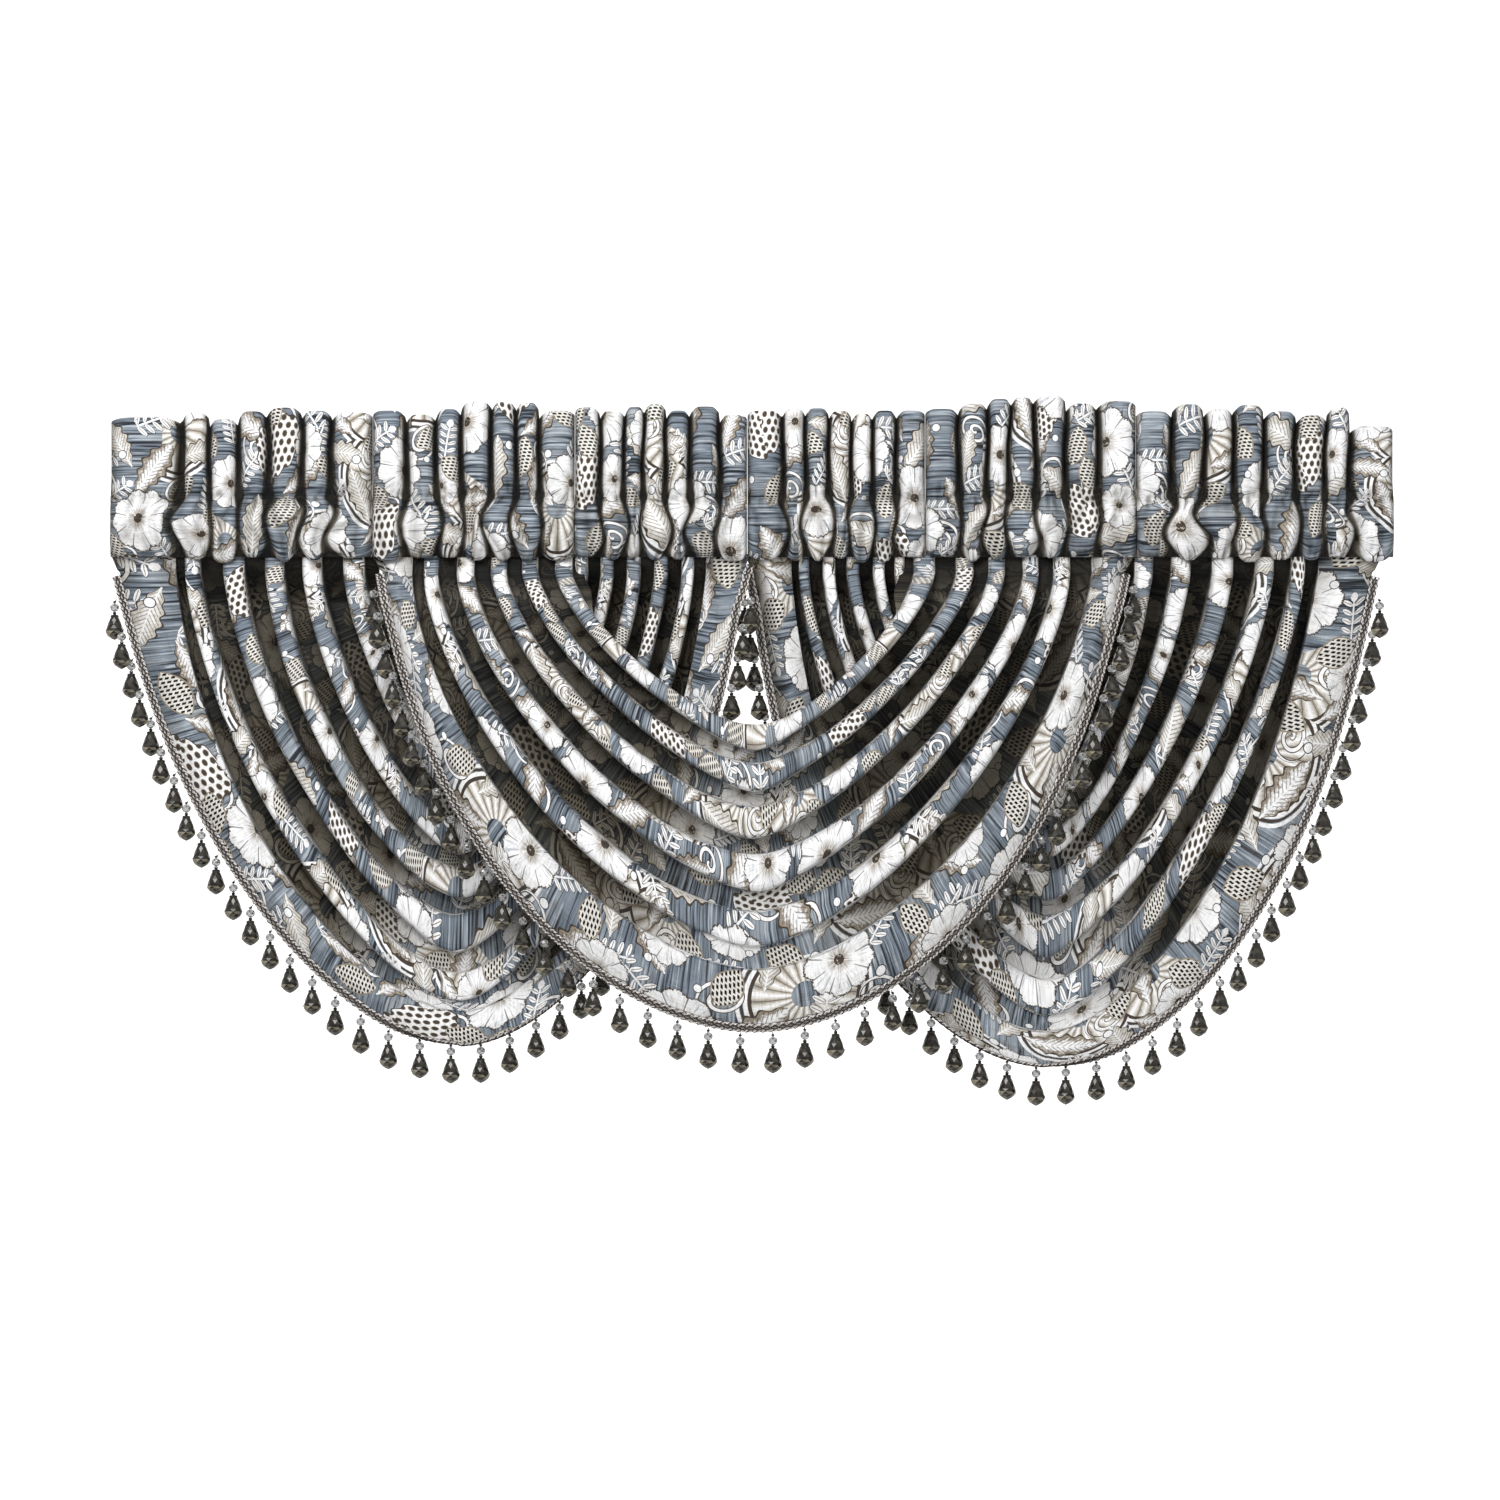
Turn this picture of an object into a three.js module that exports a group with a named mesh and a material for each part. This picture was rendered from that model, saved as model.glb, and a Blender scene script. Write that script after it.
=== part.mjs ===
// A waterfall valance: three swags of figured jacquard, pushed together on one rod.
// Each swag has two gathered shoulders, one draped cloth and a bead fringe along its hem.
// Sizes are in millimetres. X runs along the rod, the front faces -Y and Z is up.
// The origin is the middle of the rod channel, halfway along the valance.

import * as THREE from 'three';

// Driving dimensions of the heading: a header ruffle above a rod pocket
const SEAM_HEIGHT = 38;
const CHANNEL_HALF_DEPTH = 14.4;
const CHANNEL_TOP = 33;
const CHANNEL_SHOULDER = 22;
const POCKET_WALL = 2.6;
const POCKET_PUFF = 6;
const POCKET_BACK_PUFF = 2;
const BOTTOM_HALF_DEPTH = 8;
const HEADER_DEPTH = 6;
const HEADER_GAP_FRONT = 5;
const HEADER_CREST_FRONT = -2;
const HEADER_GAP_DIP = 4;
const SEAM_GAP_FRONT = -1;
const SEAM_CREST_FRONT = -5;
const PLEAT_SHOULDER = 0.25;
const HEADING_GAP = 0.4;
const HEADING_LEFT_END = -818;

// Driving dimensions of the draped cloth
const CLOTH = 2;
const SEWING_GAP = 0.3;
const FOLD_START = -57;
const FOLD_STEPS = 26;
const GATHER_BOTTOM = -100;
const GATHER_SHARE = 0.2;
const SEAM_FRONT = -4;
const CREST_SHARE = 0.27;
const OUTER_CREST_SHARE = 0.3;
const OUTER_VALLEY_SHARE = 0.65;
const BAND_MIDDLE_SHARE = 0.45;
const ROLL_SHARE = 0.12;
const ROLL_DEPTH = 16;
const MIDDLE_ROUND = 0.07;
const LEAN_WITHIN = 0.15;
const MIDDLE_FROM = 0.1;
const MIDDLE_TO = 0.6;

// Driving dimensions of the bead fringe
const HEM_STEPS = 220;
const HEM_SPAN = 4;
const BRAID_WIDTH = 9;
const BRAID_THICKNESS = 2.4;
const BRAID_GAP = 1.3;
const BRAID_END = 3;
const ROOT_WIDTH = 4;
const DROP_SWAY = 6;
const BEAD_HALF = 4.5;
const BEAD_OUT = 5.5;

// Turns rows of numbers into rows with named columns.
function table(columns, rows) {
  const names = columns.split(' ');
  return rows.map((row) => Object.fromEntries(names.map((name, i) => [name, row[i]])));
}

// A drop hangs from the braid: how far down each ring of it lies, and its half width.
const DROP_RINGS = table('down half', [
  [9, BEAD_HALF],
  [19, 1.6],
  [43, 9.4],
]);
const DROP_LENGTH = 53;

// The pleats of each heading, from left to right: width, top above the rod, forward bulge.
const PLEATS = 'width top bulge';
const HEADINGS = [
  {
    name: 'left_swag_heading_a',
    pleats: table(PLEATS, [
      [92, 139, 4],
      [34, 145, 12],
      [37, 136, 11],
      [38, 146, 13],
      [43, 151, 12],
      [36, 147, 12],
      [54, 145, 14],
    ]),
  },
  {
    name: 'centre_swag_heading_a',
    pleats: table(PLEATS, [
      [44, 147, 13],
      [38, 142, 12],
      [32, 149, 12],
      [37, 159, 14],
      [33, 158, 12],
      [29, 157, 11],
      [45, 147, 13],
    ]),
  },
  {
    name: 'left_swag_heading_b',
    pleats: table(PLEATS, [
      [32, 151, 12],
      [30, 147, 12],
      [25, 152, 10],
      [28, 155, 12],
      [32, 147, 12],
      [38, 152, 13],
      [35, 142, 12],
    ]),
  },
  {
    name: 'right_swag_heading_a',
    pleats: table(PLEATS, [
      [46, 147, 13],
      [28, 150, 11],
      [31, 150, 12],
      [28, 147, 11],
      [26, 143, 10],
      [31, 147, 12],
      [37, 147, 13],
    ]),
  },
  {
    name: 'centre_swag_heading_b',
    pleats: table(PLEATS, [
      [43, 149, 13],
      [36, 156, 12],
      [28, 162, 11],
      [34, 164, 12],
      [38, 166, 13],
      [40, 156, 13],
      [50, 159, 14],
    ]),
  },
  {
    name: 'right_swag_heading_b',
    pleats: table(PLEATS, [
      [45, 146, 13],
      [41, 155, 13],
      [39, 149, 12],
      [38, 154, 13],
      [40, 146, 13],
      [38, 141, 12],
      [30, 151, 12],
      [57, 128, 4],
    ]),
  },
];

// The folds of each swag, from the hem inwards. A row gives the reach of one fold line to
// the left and right of the swag's middle, its drop below the pocket, the power of its
// curve and how far it leans inwards below the shoulder on each side, and how far back the
// cloth lies there on the left, in the middle and on the right. In the rows for crests the
// last three are the depths of the valley just outside the crest.
const FOLDS = 'left right drop leftPower rightPower leftLean rightLean leftDepth middleDepth rightDepth';
const TURN = 'from full until end turn';
const SWAGS = [
  {
    name: 'left_swag',
    middle: -373,
    front: -4,
    firstDrop: 31,
    dropPitch: 38.7,
    hem: table(FOLDS, [
      [433, 354, 603, 1.62, 1.75, 19, 10, 6, 4, -19],
      [362, 315, 563, 1.65, 1.7, 4, 8, 3, 2, 3],
    ]),
    crests: table(FOLDS, [
      [345, 292, 545, 1.42, 1.42, 0, 0, 36, 4, 36],
      [287, 257, 465, 1.45, 1.45, 0, 0, 42, 10, 40],
      [235, 222, 398, 1.54, 1.5, 0, 0, 44, 16, 40],
      [189, 188, 347, 1.42, 1.42, 0, 0, 44, 16, 40],
      [135, 156, 270, 1.4, 1.4, 0, 0, 42, 14, 40],
    ]),
    trimTurn: table(TURN, [[0.42, 0.5, 0.82, 0.9, 1.35]]),
  },
  {
    name: 'centre_swag',
    middle: 4,
    front: -60,
    firstDrop: 22,
    dropPitch: 38.8,
    hem: table(FOLDS, [
      [473, 468, 576, 1.8, 1.8, 20, 25, 8, 5, 8],
      [437, 430, 508, 1.65, 1.65, 4, 13, 3, 2, 3],
    ]),
    crests: table(FOLDS, [
      [415, 389, 462, 1.5, 1.46, 0, 0, 36, 4, 36],
      [368, 352, 385, 1.47, 1.43, 0, 0, 38, 10, 38],
      [326, 307, 322, 1.42, 1.38, 0, 0, 38, 16, 38],
      [287, 269, 264, 1.38, 1.34, 0, 0, 38, 14, 38],
      [244, 216, 214, 1.36, 1.36, 0, 0, 36, 12, 36],
    ]),
    trimTurn: [],
  },
  {
    name: 'right_swag',
    middle: 378,
    front: -4,
    firstDrop: 26,
    dropPitch: 37.3,
    hem: table(FOLDS, [
      [372, 413, 629, 1.85, 1.75, 10, 20, 22, 4, 6],
      [328, 345, 590, 1.75, 1.62, 6, 12, 5, 2, 3],
    ]),
    crests: table(FOLDS, [
      [314, 320, 560, 1.4, 1.38, 0, 0, 38, 4, 36],
      [279, 277, 465, 1.46, 1.4, 0, 0, 40, 10, 42],
      [250, 222, 404, 1.4, 1.38, 0, 0, 40, 16, 44],
      [215, 168, 353, 1.45, 1.38, 0, 0, 40, 16, 44],
      [190, 122, 295, 1.4, 1.4, 0, 0, 38, 14, 42],
    ]),
    trimTurn: table(TURN, [[0.3, 0.38, 0.5, 0.58, 1.35]]),
  },
];

function mix(a, b, share) {
  return a + (b - a) * share;
}

function smooth(from, to, value) {
  return THREE.MathUtils.smoothstep(value, from, to);
}

// Collects the corners and faces of one closed body.
class Body {
  constructor() {
    this.corners = [];
    this.faces = [];
  }

  corner(point) {
    this.corners.push(point);
    return this.corners.length - 1;
  }

  loop(points) {
    return points.map((point) => this.corner(point));
  }

  triangle(a, b, c) {
    this.faces.push([a, b, c]);
  }

  quad(a, b, c, d) {
    this.triangle(a, b, c);
    this.triangle(a, c, d);
  }

  // Joins two rings of corners, edge by edge.
  band(ring, next) {
    ring.forEach((corner, i) => {
      const j = (i + 1) % ring.length;
      this.quad(corner, ring[j], next[j], next[i]);
    });
  }

  // Six times the volume, positive when the faces point out
  sixVolumes() {
    const cross = new THREE.Vector3();
    return this.faces.reduce((sum, [a, b, c]) => {
      cross.crossVectors(this.corners[b], this.corners[c]);
      return sum + cross.dot(this.corners[a]);
    }, 0);
  }

  mesh(name, color, roughness) {
    const inward = this.sixVolumes() < 0;
    const faces = inward ? this.faces.map(([a, b, c]) => [a, c, b]) : this.faces;
    const geometry = new THREE.BufferGeometry().setFromPoints(this.corners);
    geometry.setIndex(faces.flat());
    geometry.computeVertexNormals();
    const material = new THREE.MeshStandardMaterial({ color, roughness, metalness: 0 });
    const mesh = new THREE.Mesh(geometry, material);
    mesh.name = name;
    return mesh;
  }
}

// The stations along one heading: three for each pleat, and one at its right end.
// crest runs from 0 in the gap between two pleats to 1 on the front of a pleat.
function headingStations(pleats, start) {
  const stations = [];
  let x = start;
  pleats.forEach((pleat, i) => {
    const before = pleats[Math.max(i - 1, 0)];
    const gapTop = Math.min(pleat.top, before.top) - HEADER_GAP_DIP;
    stations.push({ x, crest: 0, top: gapTop, bulge: pleat.bulge });
    [PLEAT_SHOULDER, 1 - PLEAT_SHOULDER].forEach((share) => {
      stations.push({ x: x + pleat.width * share, crest: 1, top: pleat.top, bulge: pleat.bulge });
    });
    x += pleat.width;
  });
  const last = pleats[pleats.length - 1];
  stations.push({ x, crest: 0, top: last.top - HEADER_GAP_DIP, bulge: last.bulge });
  stations[0].x += HEADING_GAP / 2;
  stations[stations.length - 1].x -= HEADING_GAP / 2;
  return stations;
}

// The outline of the heading at one station, front wall first: the pocket, then the header
function headingOutline({ x, crest, top, bulge }) {
  const wall = CHANNEL_HALF_DEPTH + POCKET_WALL;
  const front = -wall - POCKET_PUFF * crest;
  const back = wall + POCKET_BACK_PUFF * crest;
  const seam = mix(SEAM_GAP_FRONT, SEAM_CREST_FRONT, crest);
  const crown = mix(HEADER_GAP_FRONT, HEADER_CREST_FRONT - bulge, crest);
  return [
    [-BOTTOM_HALF_DEPTH, -SEAM_HEIGHT],
    [front, -CHANNEL_SHOULDER - POCKET_WALL],
    [front, CHANNEL_SHOULDER + POCKET_WALL],
    [seam, SEAM_HEIGHT],
    [crown, top],
    [crown + HEADER_DEPTH, top],
    [seam + HEADER_DEPTH, SEAM_HEIGHT],
    [back, CHANNEL_SHOULDER + POCKET_WALL],
    [back, -CHANNEL_SHOULDER - POCKET_WALL],
    [BOTTOM_HALF_DEPTH, -SEAM_HEIGHT],
  ].map(([y, z]) => new THREE.Vector3(x, y, z));
}

// The open channel inside the pocket at one station
function channelOutline({ x, crest }) {
  const front = -CHANNEL_HALF_DEPTH - POCKET_PUFF * crest;
  const back = CHANNEL_HALF_DEPTH + POCKET_BACK_PUFF * crest;
  return [
    [0, -CHANNEL_TOP],
    [front, -CHANNEL_SHOULDER],
    [front, CHANNEL_SHOULDER],
    [0, CHANNEL_TOP],
    [back, CHANNEL_SHOULDER],
    [back, -CHANNEL_SHOULDER],
  ].map(([y, z]) => new THREE.Vector3(x, y, z));
}

// One shoulder heading: its outline and its channel carried along X, closed at both ends
function heading({ name, pleats }, start) {
  const body = new Body();
  const stations = headingStations(pleats, start);
  const outer = stations.map((station) => body.loop(headingOutline(station)));
  const inner = stations.map((station) => body.loop(channelOutline(station)));
  for (let i = 1; i < stations.length; i += 1) {
    body.band(outer[i - 1], outer[i]);
    body.band(inner[i], inner[i - 1]);
  }
  const flat = (ring) => ring.map((corner) => {
    const point = body.corners[corner];
    return new THREE.Vector2(point.y, point.z);
  });
  [0, stations.length - 1].forEach((end) => {
    const ring = [...outer[end], ...inner[end]];
    const faces = THREE.ShapeUtils.triangulateShape(flat(outer[end]), [flat(inner[end])]);
    faces.forEach(([a, b, c]) => {
      if (end === 0) body.triangle(ring[a], ring[b], ring[c]);
      else body.triangle(ring[a], ring[c], ring[b]);
    });
  });
  return body.mesh(name, 0x8d97a3, 0.85);
}

// A line that lies part of the way from one fold line to another
function between(line, other, share) {
  return Object.fromEntries(Object.keys(line).map((key) => [key, mix(line[key], other[key], share)]));
}

function atDepth(line, leftDepth, middleDepth, rightDepth) {
  return { ...line, leftDepth, middleDepth, rightDepth };
}

// All lines of a swag's cloth, from its hem to the rolled edge above the highest fold:
// the flat band along the hem, then a valley and the two edges of a crest for each fold
function clothLines({ hem, crests }) {
  const [edge, band] = hem;
  const lines = [edge, atDepth(between(edge, band, BAND_MIDDLE_SHARE), 0, 0, 0), band];
  crests.forEach((crest, i) => {
    const outside = i === 0 ? band : crests[i - 1];
    const valley = [crest.leftDepth, crest.middleDepth, crest.rightDepth];
    const valleyShare = i === 0 ? OUTER_VALLEY_SHARE : 0.5;
    const crestShare = i === 0 ? OUTER_CREST_SHARE : CREST_SHARE;
    lines.push(atDepth(between(crest, outside, valleyShare), ...valley));
    lines.push(atDepth(between(crest, outside, crestShare), 0, 0, 0));
    if (i < crests.length - 1) {
      lines.push(atDepth(between(crest, crests[i + 1], CREST_SHARE), 0, 0, 0));
    }
  });
  const [next, top] = crests.slice(-2);
  lines.push(atDepth(between(top, next, -CREST_SHARE), 0, 0, 0));
  lines.push(atDepth(between(top, next, -ROLL_SHARE), ROLL_DEPTH, ROLL_DEPTH, ROLL_DEPTH));
  return lines;
}

// A point of a fold line: angle runs from 0 at the left shoulder to pi at the right one.
// On either side of the middle (across / reach)^power + (down / drop)^power is 1, with the
// bend in the middle rounded and the stretch below the shoulder leaning inwards.
function foldPoint(swag, line, angle) {
  const onLeft = angle < Math.PI / 2;
  const side = onLeft ? -1 : 1;
  const power = onLeft ? line.leftPower : line.rightPower;
  const across = Math.abs(Math.cos(angle)) ** (2 / power);
  const rounded = Math.hypot(across, MIDDLE_ROUND) / Math.hypot(1, MIDDLE_ROUND);
  const down = Math.max(1 - rounded ** power, 0) ** (1 / power);
  const lean = (1 - down ** 2) * (1 - Math.exp(-down / LEAN_WITHIN));
  const [fullReach, fullLean] = onLeft ? [line.left, line.leftLean] : [line.right, line.rightLean];
  const reach = fullReach * across - fullLean * lean;
  const sideDepth = onLeft ? line.leftDepth : line.rightDepth;
  const depth = mix(line.middleDepth, sideDepth, smooth(MIDDLE_FROM, MIDDLE_TO, across));
  return hungPoint(swag, swag.middle + side * reach, FOLD_START - line.drop * down, depth);
}

// The cloth comes out of the pocket's seam gathered, and opens into its folds below it.
function hungPoint(swag, x, z, depth) {
  const open = smooth(GATHER_BOTTOM, -SEAM_HEIGHT, z);
  const front = mix(swag.front, SEAM_FRONT, open);
  return new THREE.Vector3(x, front + depth * mix(1, GATHER_SHARE, open), z);
}

function seamPoint(swag, line, onLeft) {
  const x = swag.middle + (onLeft ? -line.left : line.right);
  const depth = onLeft ? line.leftDepth : line.rightDepth;
  return hungPoint(swag, x, -SEAM_HEIGHT - SEWING_GAP, depth);
}

// The front surface of a swag's cloth: rows along the folds, one column for each line
function clothGrid(swag) {
  const lines = clothLines(swag);
  const rows = [lines.map((line) => seamPoint(swag, line, true))];
  for (let i = 0; i <= FOLD_STEPS; i += 1) {
    rows.push(lines.map((line) => foldPoint(swag, line, (Math.PI * i) / FOLD_STEPS)));
  }
  rows.push(lines.map((line) => seamPoint(swag, line, false)));
  return rows;
}

// The direction from the front of the cloth to its back at one point of the grid
function inwardNormal(grid, i, j) {
  const row = (k) => grid[THREE.MathUtils.clamp(k, 0, grid.length - 1)];
  const column = (k) => THREE.MathUtils.clamp(k, 0, grid[0].length - 1);
  const along = row(i + 1)[j].clone().sub(row(i - 1)[j]);
  const across = grid[i][column(j + 1)].clone().sub(grid[i][column(j - 1)]);
  return along.cross(across).normalize();
}

// A swag's draped cloth: the front surface, the back one cloth's thickness behind it,
// and the narrow edges all round
function drapedCloth(swag) {
  const body = new Body();
  const grid = clothGrid(swag);
  const front = grid.map((row) => body.loop(row));
  const back = grid.map((row, i) => body.loop(row.map((point, j) => {
    const inward = inwardNormal(grid, i, j);
    if (i === 0 || i === grid.length - 1) inward.set(0, 1, 0);
    return point.clone().addScaledVector(inward, CLOTH);
  })));
  const lastRow = grid.length - 1;
  const lastColumn = grid[0].length - 1;
  for (let i = 0; i < lastRow; i += 1) {
    for (let j = 0; j < lastColumn; j += 1) {
      body.quad(front[i][j], front[i + 1][j], front[i + 1][j + 1], front[i][j + 1]);
      body.quad(back[i][j], back[i][j + 1], back[i + 1][j + 1], back[i + 1][j]);
    }
    body.quad(front[i][0], back[i][0], back[i + 1][0], front[i + 1][0]);
    body.quad(front[i][lastColumn], front[i + 1][lastColumn], back[i + 1][lastColumn], back[i][lastColumn]);
  }
  for (let j = 0; j < lastColumn; j += 1) {
    body.quad(front[0][j], front[0][j + 1], back[0][j + 1], back[0][j]);
    body.quad(front[lastRow][j], back[lastRow][j], back[lastRow][j + 1], front[lastRow][j + 1]);
  }
  return body.mesh(swag.name, 0x9aa3ad, 0.8);
}

// The hem as a path that is measured along its length
function hemPath(swag) {
  const [edge] = swag.hem;
  const points = [];
  for (let i = 0; i <= HEM_STEPS; i += 1) {
    const point = foldPoint(swag, edge, (Math.PI * i) / HEM_STEPS);
    points.push(point.add(new THREE.Vector3(0, CLOTH / 2, 0)));
  }
  const path = new THREE.CurvePath();
  points.slice(1).forEach((point, i) => path.add(new THREE.LineCurve3(points[i], point)));
  return path;
}

// How far the braid is turned back under the hem at a share of the hem's length
function turnAt(swag, share) {
  return swag.trimTurn.reduce((turn, { from, full, until, end, turn: most }) => (
    turn + most * smooth(from, full, share) * (1 - smooth(until, end, share))
  ), 0);
}

// The braid's section at one distance along the hem: inner front, outer front,
// outer back and inner back, with the way that the fringe points
function braidSection(swag, path, distance) {
  const length = path.getLength();
  const share = distance / length;
  const point = path.getPointAt(share);
  const step = HEM_SPAN / length;
  const before = path.getPointAt(Math.max(share - step, 0));
  const after = path.getPointAt(Math.min(share + step, 1));
  const along = after.sub(before).normalize();
  const outward = new THREE.Vector3(along.z, 0, -along.x).normalize();
  const turn = turnAt(swag, share);
  const way = outward.multiplyScalar(Math.cos(turn)).add(new THREE.Vector3(0, Math.sin(turn), 0));
  const frontward = new THREE.Vector3().crossVectors(way, along).normalize();
  const at = (out, forward) => point.clone().addScaledVector(way, out).addScaledVector(frontward, forward);
  const half = BRAID_THICKNESS / 2;
  const outer = BRAID_GAP + BRAID_WIDTH;
  return {
    way,
    root: at(outer, 0),
    corners: [at(BRAID_GAP, half), at(outer, half), at(outer, -half), at(BRAID_GAP, -half)],
  };
}

// One drop: square rings round a line that hangs straight down, closed by its tip
function hangDrop(body, start, end, root, way, sway) {
  const top = [start[1], end[1], end[2], start[2]];
  const axis = root.clone().addScaledVector(way, BEAD_OUT);
  axis.y += sway;
  axis.z = root.z;
  const rings = DROP_RINGS.map(({ down, half }) => body.loop([
    [-half, -half],
    [half, -half],
    [half, half],
    [-half, half],
  ].map(([x, y]) => new THREE.Vector3(axis.x + x, axis.y + y, axis.z - down))));
  body.band(top, rings[0]);
  rings.slice(1).forEach((ring, i) => body.band(rings[i], ring));
  const tip = body.corner(new THREE.Vector3(axis.x, axis.y, axis.z - DROP_LENGTH));
  const last = rings[rings.length - 1];
  last.forEach((corner, i) => body.triangle(corner, last[(i + 1) % last.length], tip));
}

// One length of a swag's fringe: a narrow braid just outside the hem, with the drops grown
// from its edge. Where the hem is steep, one drop hangs forward and the next one back.
function fringeLength(swag, path, from, to, name) {
  const body = new Body();
  const section = (distance) => braidSection(swag, path, distance);
  const sides = [0, 1, 2, 3];
  const run = (ring, next, skipped) => sides.filter((side) => side !== skipped).forEach((side) => {
    const other = (side + 1) % 4;
    body.quad(ring[side], next[side], next[other], ring[other]);
  });
  let last = body.loop(section(from).corners);
  body.quad(...last);
  const firstDrop = Math.ceil((from + ROOT_WIDTH - swag.firstDrop) / swag.dropPitch);
  for (let k = firstDrop; swag.firstDrop + k * swag.dropPitch < to - ROOT_WIDTH; k += 1) {
    const distance = swag.firstDrop + k * swag.dropPitch;
    const start = body.loop(section(distance - ROOT_WIDTH / 2).corners);
    const end = body.loop(section(distance + ROOT_WIDTH / 2).corners);
    const { root, way } = section(distance);
    const sway = DROP_SWAY * Math.abs(way.x) * (k % 2 === 0 ? 1 : -1);
    run(last, start);
    run(start, end, 1);
    hangDrop(body, start, end, root, way, sway);
    last = end;
  }
  const finish = body.loop(section(to).corners);
  run(last, finish);
  body.quad(...finish.reverse());
  return body.mesh(name, 0x4a443d, 0.35);
}

// A swag's fringe is sewn on in two lengths, which meet between two drops near its middle.
function beadFringe(swag) {
  const path = hemPath(swag);
  const length = path.getLength();
  const before = Math.floor((length / 2 - swag.firstDrop) / swag.dropPitch);
  const joint = swag.firstDrop + (before + 0.5) * swag.dropPitch;
  const name = `${swag.name}_bead_fringe`;
  return [
    fringeLength(swag, path, BRAID_END, joint - SEWING_GAP / 2, `${name}_a`),
    fringeLength(swag, path, joint + SEWING_GAP / 2, length - BRAID_END, `${name}_b`),
  ];
}

const valance = new THREE.Group();
let headingStart = HEADING_LEFT_END;
HEADINGS.forEach((each) => {
  valance.add(heading(each, headingStart));
  headingStart += each.pleats.reduce((sum, pleat) => sum + pleat.width, 0);
});
SWAGS.forEach((swag) => {
  valance.add(drapedCloth(swag));
  valance.add(...beadFringe(swag));
});

export default valance;
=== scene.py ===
import math

import bpy
import numpy as np
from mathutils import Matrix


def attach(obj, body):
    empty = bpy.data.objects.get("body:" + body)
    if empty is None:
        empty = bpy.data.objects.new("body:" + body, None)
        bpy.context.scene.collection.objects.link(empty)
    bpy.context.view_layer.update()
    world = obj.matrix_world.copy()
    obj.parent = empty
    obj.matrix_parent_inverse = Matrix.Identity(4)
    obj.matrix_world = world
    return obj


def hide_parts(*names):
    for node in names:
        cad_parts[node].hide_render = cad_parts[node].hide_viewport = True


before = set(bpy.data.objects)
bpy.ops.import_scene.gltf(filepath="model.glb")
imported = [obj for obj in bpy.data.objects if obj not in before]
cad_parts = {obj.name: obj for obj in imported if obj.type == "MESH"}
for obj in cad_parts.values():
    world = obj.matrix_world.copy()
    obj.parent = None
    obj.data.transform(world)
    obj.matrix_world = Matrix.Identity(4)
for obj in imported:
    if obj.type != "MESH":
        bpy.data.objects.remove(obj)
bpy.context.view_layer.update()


# ------------------------------ swag cloths
# Each swag is one panel of heavy figured jacquard, sewn to its two shoulder headings
# and hung in curved folds from one shoulder to the other: round-topped tubes with deep
# flat-bottomed hollows between them, and a flat band along the hem.

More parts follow.
